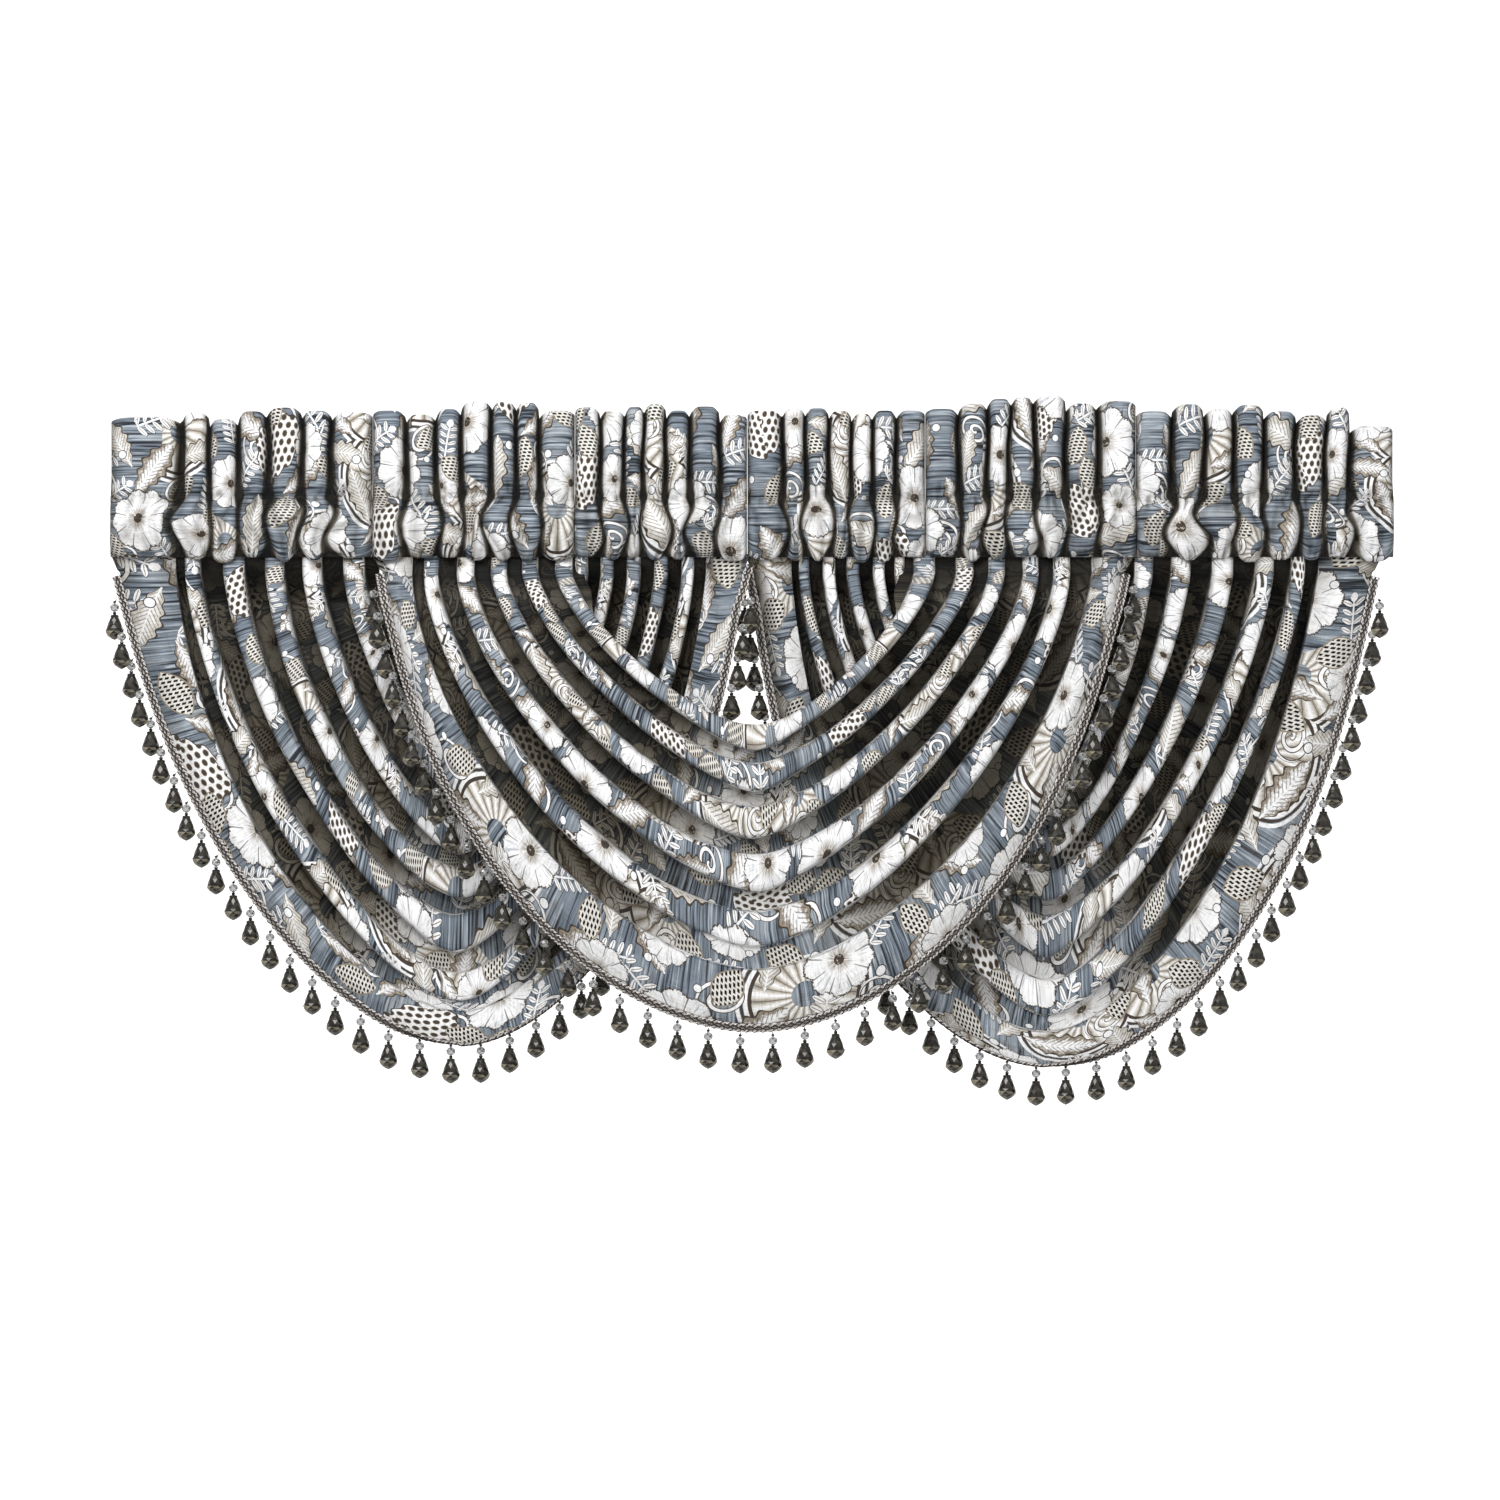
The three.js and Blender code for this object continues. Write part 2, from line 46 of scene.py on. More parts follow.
# In metres, for each swag: its middle along the rod and the front of its folds; for its
# left and right edge the flare at the seam, the closing towards the neighbour below it and
# how far the braid goes on above the folds; the first drop's place and the drops' pitch
# along the hem. "outer" is the side where the margin above the highest fold is wide, 1 for
# left and -1 for right, and "turned" has the shares of the hem's length where the fringe
# starts to turn back under the cloth, is under it, starts out again and is out.
#
# The lines, in millimetres, are the hem, the inner edge of the band, then the crests from
# the outermost fold to the highest one: reach to the left and right of the middle, drop,
# power of the curve on either side, inward lean on either side, and how deep the cloth
# lies outside the line on the left, in the middle and on the right.
SWAGS = {
    "left_swag": {
        "middle": -0.373, "front": -0.004, "outer": 1,
        "flare": (0.012, 0.009), "closing": (0.0, 0.007), "braid_top": (0.0, 0.014),
        "first_drop": 0.031, "drop_pitch": 0.0387,
        "turned": [(0.42, 0.50, 0.82, 0.90)],
        "lines": [
            (433, 354, 603, 1.62, 1.75, 19, 10, 6, 4, -19),
            (362, 315, 563, 1.65, 1.70, 4, 8, 3, 2, 3),
            (345, 292, 545, 1.42, 1.42, 0, 0, 36, 4, 36),
            (287, 257, 465, 1.45, 1.45, 0, 0, 42, 10, 40),
            (235, 222, 398, 1.54, 1.50, 0, 0, 44, 16, 40),
            (189, 188, 347, 1.42, 1.42, 0, 0, 44, 16, 40),
            (135, 156, 270, 1.40, 1.40, 0, 0, 42, 14, 40),
        ],
    },
    "centre_swag": {
        "middle": 0.004, "front": -0.060, "outer": 0,
        "flare": (0.017, 0.017), "closing": (0.0, 0.0), "braid_top": (0.0, 0.0),
        "first_drop": 0.022, "drop_pitch": 0.0388,
        "turned": [],
        "lines": [
            (473, 468, 576, 1.80, 1.80, 20, 25, 8, 5, 8),
            (437, 430, 508, 1.65, 1.65, 4, 13, 3, 2, 3),
            (415, 389, 462, 1.50, 1.46, 0, 0, 36, 4, 36),
            (368, 352, 385, 1.47, 1.43, 0, 0, 38, 10, 38),
            (326, 307, 322, 1.42, 1.38, 0, 0, 38, 16, 38),
            (287, 269, 264, 1.38, 1.34, 0, 0, 38, 14, 38),
            (244, 216, 214, 1.36, 1.36, 0, 0, 36, 12, 36),
        ],
    },
    "right_swag": {
        "middle": 0.378, "front": -0.004, "outer": -1,
        "flare": (0.011, 0.013), "closing": (0.004, 0.0), "braid_top": (0.014, 0.0),
        "first_drop": 0.026, "drop_pitch": 0.0373,
        "turned": [(0.30, 0.38, 0.50, 0.58)],
        "lines": [
            (372, 413, 629, 1.85, 1.75, 10, 20, 22, 4, 6),
            (328, 345, 590, 1.75, 1.62, 6, 12, 5, 2, 3),
            (314, 320, 560, 1.40, 1.38, 0, 0, 38, 4, 36),
            (279, 277, 465, 1.46, 1.40, 0, 0, 40, 10, 42),
            (250, 222, 404, 1.40, 1.38, 0, 0, 40, 16, 44),
            (215, 168, 353, 1.45, 1.38, 0, 0, 40, 16, 44),
            (190, 122, 295, 1.40, 1.40, 0, 0, 38, 14, 42),
        ],
    },
}
CUT_WIDTH = 1.245
CLOTH_THICKNESS = 0.0012
REPEAT_SHIFT = (0.13, 0.07)  # of the woven design from one swag to the next

SEAM = -0.0383  # height of the seam below the rod pockets
CLOTH_TOP = SEAM + 0.005  # the cloth goes on up behind its seam
SEAM_FRONT = -0.002  # how far forward it lies there
FOLD_START = -0.057  # height where its curved lines start
GATHERED_DEPTH_LOST = 0.88  # share of a fold's depth that is gathered away at the seam
TUBE_BULGE = 0.004
SLACK = 0.45  # how much wider a tube is at the middle of the swag
MARGIN_DEPTH = 0.016
UNEVENNESS = 0.0012

# Widths in folds, where one is the way from a line to the next.
BAND_LOW = 0.45
WALL = 0.06
CREST_HALF = 0.225
BAND_CREST_HALF = 0.28
TOP_CREST = 6
MARGIN_NARROW = 6.20

LINE_STEPS = 231
MIDDLE_ROUNDING = 0.07
LEAN_REACH = 0.15


def ramp(low, high, value):
    """Smooth step: 0 below low, 1 above high, 3q^2 - 2q^3 between."""
    q = np.clip((value - low) / (high - low), 0, 1)
    return q * q * (3 - 2 * q)


def ripple(u, v, seed, size, waves=7):
    """Soft unevenness of cloth: a sum of sines of u and v in seeded directions, about
    size metres long each, scaled to stay near -1 to 1."""
    chance = np.random.default_rng(seed)
    total = 0.0
    for turn, stretch, phase in chance.uniform((0, 0.7, 0), (math.pi, 1.5, 6.28), (waves, 3)):
        reach = 2 * math.pi / (size * stretch)
        total = total + np.sin(reach * (u * math.cos(turn) + v * math.sin(turn)) + phase)
    return total / (0.6 * waves)


def fold_place(swag, fold, depth_row, angle):
    """Points of the lines at fold (0 hem, 1 band, 2 to 6 crests) for angle 0 to pi.

    On each side (across / reach)^power + (down / drop)^power = 1, with hypot(across,
    MIDDLE_ROUNDING) for across, which rounds the middle, and the stretch under the
    shoulder drawn inwards by lean (1 - down^2)(1 - exp(-down / LEAN_REACH))."""
    rows = np.array(swag["lines"], float)
    rows = np.vstack([rows, 2 * rows[-1] - rows[-2]])
    at = lambda column: np.interp(fold, np.arange(len(rows)), rows[:, column])
    left = (angle < math.pi / 2)[:, None]
    power = np.where(left, at(3), at(4))
    across = np.abs(np.cos(angle))[:, None] ** (2 / power)
    rounded = np.hypot(across, MIDDLE_ROUNDING) / math.hypot(1, MIDDLE_ROUNDING)
    down = np.maximum(1 - rounded ** power, 0) ** (1 / power)
    lean = (1 - down ** 2) * (1 - np.exp(-down / LEAN_REACH))
    reach = np.where(left, at(0), at(1)) * across - np.where(left, at(5), at(6)) * lean
    x = swag["middle"] + np.where(left, -1, 1) * reach / 1000
    z = FOLD_START - at(2) * down / 1000
    side = np.where(left, rows[depth_row, 7], rows[depth_row, 9])
    middle = rows[depth_row, 8]
    depth = (middle + (side - middle) * ramp(0.1, 0.6, across)) / 1000
    return x, z, depth


def widened(fold, angle):
    """Folds for each angle, with tubes that are wider by up to SLACK at the middle of the
    swag, where the cloth lies slack, and hollows that narrow to fit."""
    near = np.round(fold)
    off = fold - near
    wider = 1 + SLACK * ramp(0.5, 0.0, np.abs(np.cos(angle)))[:, None]
    hollow = 0.5 - (0.5 - np.abs(off)) * (0.5 - CREST_HALF * wider) / (0.5 - CREST_HALF)
    moved = np.where(np.abs(off) <= CREST_HALF, off * wider, np.sign(off) * hollow)
    return np.where(fold > 1.5, near + moved, fold)


def gathered(z):
    """How tightly the cloth is gathered at a height: 1 at the seam, 0 from 60 mm below."""
    return ramp(-0.100, -0.038, z)


def hang(swag, z, depth):
    """The cloth comes gathered out of the pocket's seam and opens into its folds."""
    front = swag["front"] + (SEAM_FRONT - swag["front"]) * gathered(z)
    return front + depth * (1 - GATHERED_DEPTH_LOST * gathered(z))


def edge_spread(swag, x, z):
    """How far an edge lies outside its line, sideways from the middle: by its flare above
    the folds, from 0 at their top to 1 at the seam, and by its closing towards the
    neighbouring swag over the first few centimetres below them."""
    flared = np.interp(z, (FOLD_START, FOLD_START + 0.004, CLOTH_TOP), (0, 0.3, 1))
    closed = ramp(-0.110, -0.062, z)
    sides = zip(swag["flare"], swag["closing"])
    left, right = (flare * flared + closing * closed for flare, closing in sides)
    return np.where(x < swag["middle"], -left, right)


def fold_profile():
    """Columns across the cloth: fold, share of the hollow's depth, row that gives that
    depth, and forward bulge. The band dips to its low line, walls are smooth steps, tubes
    are half ellipses, and the margin turns back from the highest tube."""
    band = (0, 0.03, 0.1, 0.2, 0.3, 0.4, 0.5, 0.6, 0.7, 0.8, 0.88, 0.94, 0.98, 1.0)
    columns = [(f, 1 - f / BAND_LOW, 0, 0.0) for f in band if f < BAND_LOW]
    columns += [(f, (f - BAND_LOW) / (1 - BAND_LOW), 1, 0.0) for f in band if f > BAND_LOW]
    walls = [(share * WALL, float(ramp(0, 1, share))) for share in (0.2, 0.4, 0.6, 0.8, 1.0)]
    tube = (-1, -0.94, -0.82, -0.64, -0.42, -0.2, 0, 0.2, 0.42, 0.64, 0.82, 0.94, 1)
    start = 1.0
    for crest in range(2, TOP_CREST + 1):
        outer = BAND_CREST_HALF if crest == 2 else CREST_HALF
        first = crest - outer
        columns += [(start + width, share, crest, 0.0) for width, share in walls]
        columns += [(f, 1.0, crest, 0.0) for f in np.linspace(start + WALL, first - WALL, 5)[1:-1]]
        columns += [(first - width, share, crest, 0.0) for width, share in reversed(walls)]
        halves = [outer if a < 0 else CREST_HALF for a in tube]
        columns += [(crest + a * half, 0.0, crest, math.sqrt(1 - a * a)) for a, half in zip(tube, halves)]
        start = crest + CREST_HALF
    margin = ((0.25, 0.12), (0.26, 0.3), (0.27, 0.6), (0.28, 0.85), (0.29, 1.0), (0.44, 1.0), (0.60, 1.0))
    columns += [(TOP_CREST + turn, share, TOP_CREST + 1, 0.0) for turn, share in margin]
    return [np.array(part) for part in zip(*columns)]


def strides(points, axis):
    """How far each point of a grid is from the one before it along an axis, the first 0."""
    return np.linalg.norm(np.diff(points, axis=axis, prepend=points.take([0], axis)), axis=-1)


def swag_surface(swag, seed):
    """The front of one swag as a grid of points, with its cloth coordinates and the painted
    shade of its hollows.

    Rows run from the left seam down along the folds and up to the right seam, columns
    from the hem to the margin above the highest fold. Lines waver between each other, and
    the margin lies near the highest tube except on the outer side and at the ends."""
    fold, share, row, bulge = fold_profile()
    row = row.astype(int)
    crest = np.minimum(row, TOP_CREST)
    margin = row > TOP_CREST
    angle = np.linspace(0, math.pi, LINE_STEPS)
    waver = 0.02 * ripple(angle[:, None] * 0.4, np.round(fold) * 0.37, seed, 0.21)
    wide = widened(fold, angle)
    x, z, depth = fold_place(swag, wide, crest, angle)
    near_x, near_z, _ = fold_place(swag, np.where(margin, MARGIN_NARROW, wide), crest, angle)
    aside = np.cos(angle)[:, None]
    tail = np.maximum(ramp(0.12, 0.6, aside * swag["outer"]), ramp(0.90, 0.98, np.abs(aside)))
    x = np.where(margin, near_x + (x - near_x) * tail, x)
    z = np.where(margin, near_z + (z - near_z) * tail, z)
    beside_x, beside_z, _ = fold_place(swag, wide + 0.1, crest, angle)
    loose = (fold > 1.02) & (fold < TOP_CREST + 0.1)
    shift = np.where(loose, waver * 10, 0) * ramp(0, 0.25, np.sin(angle))[:, None]
    x, z = x + (beside_x - x) * shift, z + (beside_z - z) * shift
    depth = np.where(margin, MARGIN_DEPTH + (depth - MARGIN_DEPTH) * tail, depth)

    rise = np.linspace(CLOTH_TOP, FOLD_START, 7)[:-1]
    ends = ((len(rise), len(rise)), (0, 0))
    x, z, depth, angle = (np.pad(part, ends, "edge") for part in (x, z, depth, angle[:, None]))
    z[:len(rise)], z[-len(rise):] = rise[:, None], rise[::-1, None]
    x = x + edge_spread(swag, x, z) * np.clip(1 - fold, 0, 1)
    y = hang(swag, z, depth * share)
    y = y - TUBE_BULGE * bulge * (1 - 0.6 * gathered(z))
    y = y + UNEVENNESS * ripple(x, z, seed + 5, 0.07) * (1 - share)
    points = np.stack([x, y, z], -1)

    along = np.cumsum(strides(points, 0), 0)
    along = (along / along[-1:] - 0.5) * CUT_WIDTH
    open_rows = slice(30, 90)  # down the left side, clear of the gathers and the slack
    across = np.cumsum(strides(points, 1)[open_rows].mean(0)) + 0 * x

    # Painted shade, multiplied into the cloth's colour: dark at the bottom of deep folds and
    # most of all high up, down the tubes' flanks, and in the folds just under the seam.
    deep = np.clip(depth / 0.030, 0, 1) ** 0.8
    flank = 0.75 * ramp(0.75, 0, bulge) * (bulge > 0)
    upper = 1 + 0.30 * ramp(-0.45, -0.18, z) * (1 - 0.5 * ramp(0.35, 0, np.abs(np.cos(angle))))
    under = 0.5 * ramp(-0.10, -0.045, z) * share + 0.15 * ramp(-0.052, -0.040, z)
    hollow = np.maximum(share * upper, flank) * deep + under
    return points, along, across, hollow


# The jacquard's figures in one repeat of the design, in millimetres: place along and
# across the cloth, turn in degrees, half length and half width.
REPEAT = (0.360, 0.300)
FIGURES = {
    "flower": [(60, 50, 0, 46, 43), (222, 118, 40, 39, 41), (112, 205, 20, 41, 38), (300, 250, 70, 45, 43),
               (335, 68, 10, 34, 31), (38, 140, 50, 32, 30)],
    "leaf": [
        (130, 60, 35, 44, 18), (15, 132, -50, 40, 16), (165, 15, -30, 37, 15), (300, 62, 60, 46, 19),
        (270, 172, -20, 41, 17), (52, 262, 10, 46, 18), (182, 252, -60, 44, 18), (330, 140, 100, 35, 15),
        (225, 200, 50, 35, 14), (18, 202, 80, 37, 16), (150, 138, 75, 34, 14), (225, 45, 15, 34, 14),
    ],
    "lattice": [
        (105, 108, 60, 25, 15), (250, 22, 20, 27, 16), (168, 168, -40, 25, 16), (345, 200, 70, 27, 16),
        (20, 8, -20, 23, 14), (236, 288, 10, 25, 15), (60, 162, 120, 23, 15), (310, 110, -70, 22, 13),
    ],
    "net": [(335, 14, 30, 40, 27), (148, 290, -15, 38, 25), (270, 215, 0, 30, 20)],
    "sprig": [
        (196, 64, 70, 27, 21), (345, 92, 20, 25, 19), (8, 84, -30, 25, 19), (95, 152, 10, 24, 18),
        (330, 292, 90, 25, 19), (15, 240, -60, 27, 20), (128, 250, 40, 24, 18), (275, 130, 35, 22, 17),
        (190, 205, -10, 22, 17), (100, 10, 60, 24, 18),
    ],
    "arch": [(182, 96, 0, 70, 70), (30, 195, 120, 62, 62), (300, 205, 200, 78, 66)],
    "dot": [
        (150, 20, 0, 5, 5), (20, 110, 0, 4, 4), (200, 160, 0, 5, 5), (75, 100, 0, 4, 4),
        (260, 85, 0, 5, 5), (345, 240, 0, 4, 4), (85, 285, 0, 5, 5), (240, 235, 0, 4, 4),
        (320, 165, 0, 5, 5), (130, 180, 0, 4, 4),
    ],
    "scroll": [
        (100, 95, 30, 30, 22), (255, 60, -50, 28, 20), (40, 155, 110, 28, 20), (200, 225, 60, 30, 22),
        (325, 185, 10, 28, 20), (150, 265, 150, 28, 20), (290, 290, -20, 30, 22), (10, 20, 80, 26, 20),
    ],
}


def figure_places(along, across, rows):
    """Where the corners of each face lie in the figure of one kind that is nearest to the
    face: x along it and y across it from -1 to 1, and a shade that differs between figures.

    Repeats are half-drop: one step across moves the design half a repeat along."""
    middle, level = along.mean(1)[:, None], across.mean(1)[:, None]
    best = np.full(middle.shape, np.inf)
    place = np.zeros(along.shape + (3,))
    for number, (s, t, turn, half_length, half_width) in enumerate(rows):
        c, d = math.cos(math.radians(turn)), math.sin(math.radians(turn))
        step = np.floor((level - t / 1000) / REPEAT[1])
        for column in (step, step + 1):
            v = across - t / 1000 - column * REPEAT[1]
            shift = s / 1000 + column * REPEAT[0] / 2
            u = along - shift - np.round((middle - shift) / REPEAT[0]) * REPEAT[0]
            x = (u * c + v * d) * 1000 / half_length
            y = (v * c - u * d) * 1000 / half_width
            far = np.hypot(x.mean(1), y.mean(1))[:, None]
            near = far < best
            best = np.where(near, far, best)
            tone = (number * 0.37 + 0.13 * column) % 1 + 0 * x
            place = np.where(near[..., None], np.stack([x, y, tone], -1), place)
    return place


def grid_faces(rows, columns):
    """The quads of a grid of points, as indices of their four corners."""
    index = np.arange(rows * columns).reshape(rows, columns)
    here, right = index[:, :-1], index[:, 1:]
    return np.stack([here[:-1], here[1:], right[1:], right[:-1]], -1).reshape(-1, 4)


def placed(name, data):
    """An object of the scene, with its place in its data."""
    piece = bpy.data.objects.new(name, data)
    bpy.context.collection.objects.link(piece)
    return piece


def cloth_piece(name, points, along, across, hollow, shift):
    """A piece of jacquard on a grid of points, with the attributes that the cloth reads:
    its own coordinates, shifted in the woven design, with the painted shade of the hollows,
    and the places in the figures."""
    faces = grid_faces(*points.shape[:2])
    mesh = bpy.data.meshes.new(name)
    mesh.from_pydata(points.reshape(-1, 3), [], faces)
    corners = [part.reshape(-1)[faces] for part in (along + shift[0], across + shift[1], hollow)]
    facts = {kind: figure_places(corners[0], corners[1], rows) for kind, rows in FIGURES.items()}
    facts["cloth"] = np.stack(corners, -1)
    for fact, values in facts.items():
        layer = mesh.attributes.new(fact, "FLOAT_VECTOR", "CORNER")
        layer.data.foreach_set("vector", np.ascontiguousarray(values, np.float32).ravel())
    mesh.shade_smooth()
    mesh.materials.append(JACQUARD)
    return placed(name, mesh)


class Value:
    """A number on its way through a material: arithmetic on it adds Math nodes."""

    def __init__(self, finish, socket):
        self.finish, self.socket = finish, socket

    def math(self, operation, *others):
        return self.finish.math(operation, self, *others)

    def __add__(self, other): return self.math("ADD", other)
    def __radd__(self, other): return self.math("ADD", other)
    def __sub__(self, other): return self.math("SUBTRACT", other)
    def __rsub__(self, other): return self.finish.math("SUBTRACT", other, self)
    def __mul__(self, other): return self.math("MULTIPLY", other)
    def __rmul__(self, other): return self.math("MULTIPLY", other)
    def __truediv__(self, other): return self.math("DIVIDE", other)
    def __pow__(self, other): return self.math("POWER", other)
    def __lt__(self, other): return self.math("LESS_THAN", other)
    def __gt__(self, other): return self.math("GREATER_THAN", other)
    def __abs__(self): return self.math("ABSOLUTE")
    def sine(self): return self.math("SINE")
    def floor(self): return self.math("FLOOR")
    def fraction(self): return self.math("FRACT")
    def most(self, other): return self.math("MAXIMUM", other)
    def root(self): return self.math("SQRT")
    def bearing(self, x): return self.math("ARCTAN2", x)

    def between(self, low, high):
        """Smooth step from low to high."""
        node = self.finish.node("ShaderNodeMapRange", {"interpolation_type": "SMOOTHSTEP"},
                                {"Value": self, "From Min": low, "From Max": high})
        return Value(self.finish, node.outputs["Result"])


class Finish:
    """One material and its nodes. Constants go straight onto the surface's sockets."""

    def __init__(self, name, **surface):
        self.material = bpy.data.materials.new(name)
        self.material.use_nodes = True
        self.tree = self.material.node_tree
        self.surface = self.tree.nodes["Principled BSDF"]
        for socket, value in surface.items():
            self.surface.inputs[socket.replace("_", " ")].default_value = value

    def node(self, kind, settings=(), values=()):
        """A node of a type, with its settings, and the values or links of its sockets."""
        node = self.tree.nodes.new(kind)
        for name, setting in dict(settings).items():
            setattr(node, name, setting)
        for name, value in dict(values).items():
            self.put(node.inputs[name], value)
        return node

    def put(self, socket, value):
        """Link a value to one of the sockets, or set a plain number or colour on it."""
        if isinstance(value, Value):
            self.tree.links.new(value.socket, socket)
        elif isinstance(value, bpy.types.NodeSocket):
            self.tree.links.new(value, socket)
        else:
            socket.default_value = value

    def math(self, operation, *values):
        node = self.node("ShaderNodeMath", {"operation": operation}, enumerate(values))
        return Value(self, node.outputs[0])

    def fact(self, name):
        """The three numbers of one of the piece's attributes, and the vector itself."""
        vector = self.node("ShaderNodeAttribute", {"attribute_name": name}).outputs["Vector"]
        parts = self.node("ShaderNodeSeparateXYZ", values={0: vector}).outputs
        return [Value(self, part) for part in parts] + [vector]

    def vector(self, x, y, z=0.0):
        return self.node("ShaderNodeCombineXYZ", values={0: x, 1: y, 2: z}).outputs[0]

    def noise(self, where, scale, detail=2.0, roughness=0.5):
        values = {"Vector": where, "Scale": scale, "Detail": detail, "Roughness": roughness}
        return Value(self, self.node("ShaderNodeTexNoise", values=values).outputs["Fac"])

    def blend(self, share, one, two, way="MIX"):
        """The colour one where share is 0 and two where it is 1."""
        settings = {"data_type": "RGBA", "blend_type": way}
        return self.node("ShaderNodeMix", settings, {0: share, 6: one, 7: two}).outputs[2]

    def bump(self, height, strength, distance):
        values = {"Strength": strength, "Distance": distance, "Height": height}
        return self.node("ShaderNodeBump", values=values).outputs["Normal"]


def shade(code):
    """A colour written as RRGGBB in sRGB, turned to linear light."""
    parts = [int(code[i:i + 2], 16) / 255 for i in (0, 2, 4)]
    return tuple(c / 12.92 if c <= 0.04045 else ((c + 0.055) / 1.055) ** 2.4 for c in parts) + (1,)


SLATE, STEEL, MIST = shade("3b424b"), shade("76818d"), shade("b3bac1")
CHALK, CREAM, TAUPE = shade("f6f6f7"), shade("e3e0d9"), shade("968b7c")
BARK, INK = shade("463d34"), shade("14110f")
# After WHITE come the painted shade of the cloth's hollows and its darkest painted shade.
WHITE, PAINTED_SHADE, DEEPEST_PAINTED_SHADE = (1, 1, 1, 1), (0.175, 0.157, 0.120, 1), (0.02, 0.017, 0.013, 1)


def jacquard():
    """Figured jacquard: a blue-grey ground ribbed across, with figures laid over it in
    the order arch, scroll, sprig, leaf, net, flower, lattice, dot. Each figure is an
    inequality on its own coordinates x and y, which run from -1 to 1 across it, and rims
    are narrow bands of the same terms."""
    cloth = Finish("jacquard", Sheen_Weight=0.04, Sheen_Roughness=0.5, Specular_IOR_Level=0.18)
    s, t, hollow, place = cloth.fact("cloth")

    # Ground: ribs about 3 mm apart between dark gaps, drifting towards pale. Each noise
    # has its number of features a metre along and across the cloth.
    ribs = cloth.noise(cloth.vector(s * 330, t * 9), 1.0, 2.0, 0.6)
    drift = cloth.noise(cloth.vector(s * 40, t * 9), 1.0, 2.0)
    brush = cloth.noise(cloth.vector(s * 260, t * 260), 1.0, 3.0, 0.65)
    strand = cloth.noise(cloth.vector(s * 420, t * 60), 1.0, 2.0, 0.6)
    wide = cloth.noise(place, 38.0, 2.0)
    colour = cloth.blend(ribs.between(0.42, 0.50), SLATE, STEEL)

    def lay(mask, thread, way="MIX"):
        """Lay another thread over the cloth where the mask is 1."""
        nonlocal colour
        colour = cloth.blend(mask, colour, thread, way)

    lay(ribs.between(0.56, 0.62) * 0.9, MIST)
    lay(drift.between(0.45, 0.7) * 0.45, MIST)
    lay((ribs < 0.39) * 0.7, INK)

    # Arch: a fan of rays in a scalloped disc that is cut off below, and four bands.
    x, y, _, _ = cloth.fact("arch")
    far = (x * x + y * y).root()
    fan = abs((y.bearing(x) * 9).sine())
    above = y > -0.35
    inside = (far < 0.74 + 0.06 * fan) * (far > 0.2) * above
    lay(inside, CREAM)
    lay(inside * (1 - (fan + brush - 0.5).between(0.2, 0.9)) * 0.8, TAUPE)
    lay(inside * (fan > 0.93), CHALK)
    lay(inside * (fan < 0.10) * 0.8, BARK)
    for radius, half, line in (
            (0.79, 0.0279, BARK), (0.85, 0.031, CHALK), (0.91, 0.0186, BARK), (0.97, 0.0279, CHALK)):
        lay((abs(far - radius) < half) * above, line)

    # Scroll: a spiral line with a dark edge.
    x, y, _, _ = cloth.fact("scroll")
    far = (x * x + y * y).root()
    curl = (far * 2.1 - y.bearing(x) / 6.2832).fraction()
    lay((abs(curl - 0.5) < 0.24) * (far < 0.95), BARK)
    lay((abs(curl - 0.5) < 0.15) * (far < 0.93), CHALK)

    # Sprig: pairs of leaflets along a stem, and a bud at its end.
    x, y, _, _ = cloth.fact("sprig")
    step = (x * 2.6 - abs(y) * 0.9).fraction() - 0.5
    leaflet = (step / 0.30) ** 2 + ((abs(y) - 0.42) / 0.36) ** 2
    bud = ((x - 0.95) / 0.2) ** 2 + (y / 0.24) ** 2
    long = abs(x) < 0.98
    stem = (abs(y) < 0.06) * long
    lay((leaflet < 1.25) * long, SLATE)
    lay(((leaflet < 0.95) * long).most(stem).most(bud < 1), CHALK)
    lay((abs(step) < 0.05) * (leaflet < 0.7) * long, TAUPE)

    # Leaf: a scalloped blade, brushed from pale to taupe, with veins and a pale midrib.
    x, y, tone, _ = cloth.fact("leaf")
    width = (1 - x * x) * (0.85 + 0.25 * x) * (1 + 0.16 * (x * 17).sine())
    edge = abs(y) / width.most(0.02)
    inside = (width > 0.02) * (edge < 1)
    vein = (x * 7 - abs(y) * 3.2 + brush * 0.5).fraction() - 0.5
    body = cloth.blend((edge * 0.8 + (brush - 0.5) * 1.6).between(0.25, 0.7), CHALK, TAUPE)
    body = cloth.blend((tone > 0.5) * 0.6, body, CREAM)
    lay((width > 0.02) * (edge < 1.15), BARK)
    lay(inside, body)
    lay(inside * (abs(vein) < 0.15) * (edge < 0.9) * 0.6, BARK)
    lay(inside * (abs(y) < 0.05), CHALK)

    # Net: a patch of dark oval cells in staggered rows.
    x, y, _, _ = cloth.fact("net")
    far = x * x + y * y + 0.12 * (x * 9 + y * 7).sine()
    inside = far < 1
    row = y * 3.1 + 0.3 * (x * 2).sine()
    cell_x = (x * 3.6 + row.floor() * 0.5).fraction() - 0.5
    cell = (cell_x / 0.36) ** 2 + ((row.fraction() - 0.5) / 0.34) ** 2
    lay(inside, CHALK)
    lay(inside * (cell < 1.15), TAUPE)
    lay(inside * (cell < 0.72), BARK)
    lay(abs(far - 1.03) < 0.05, BARK)

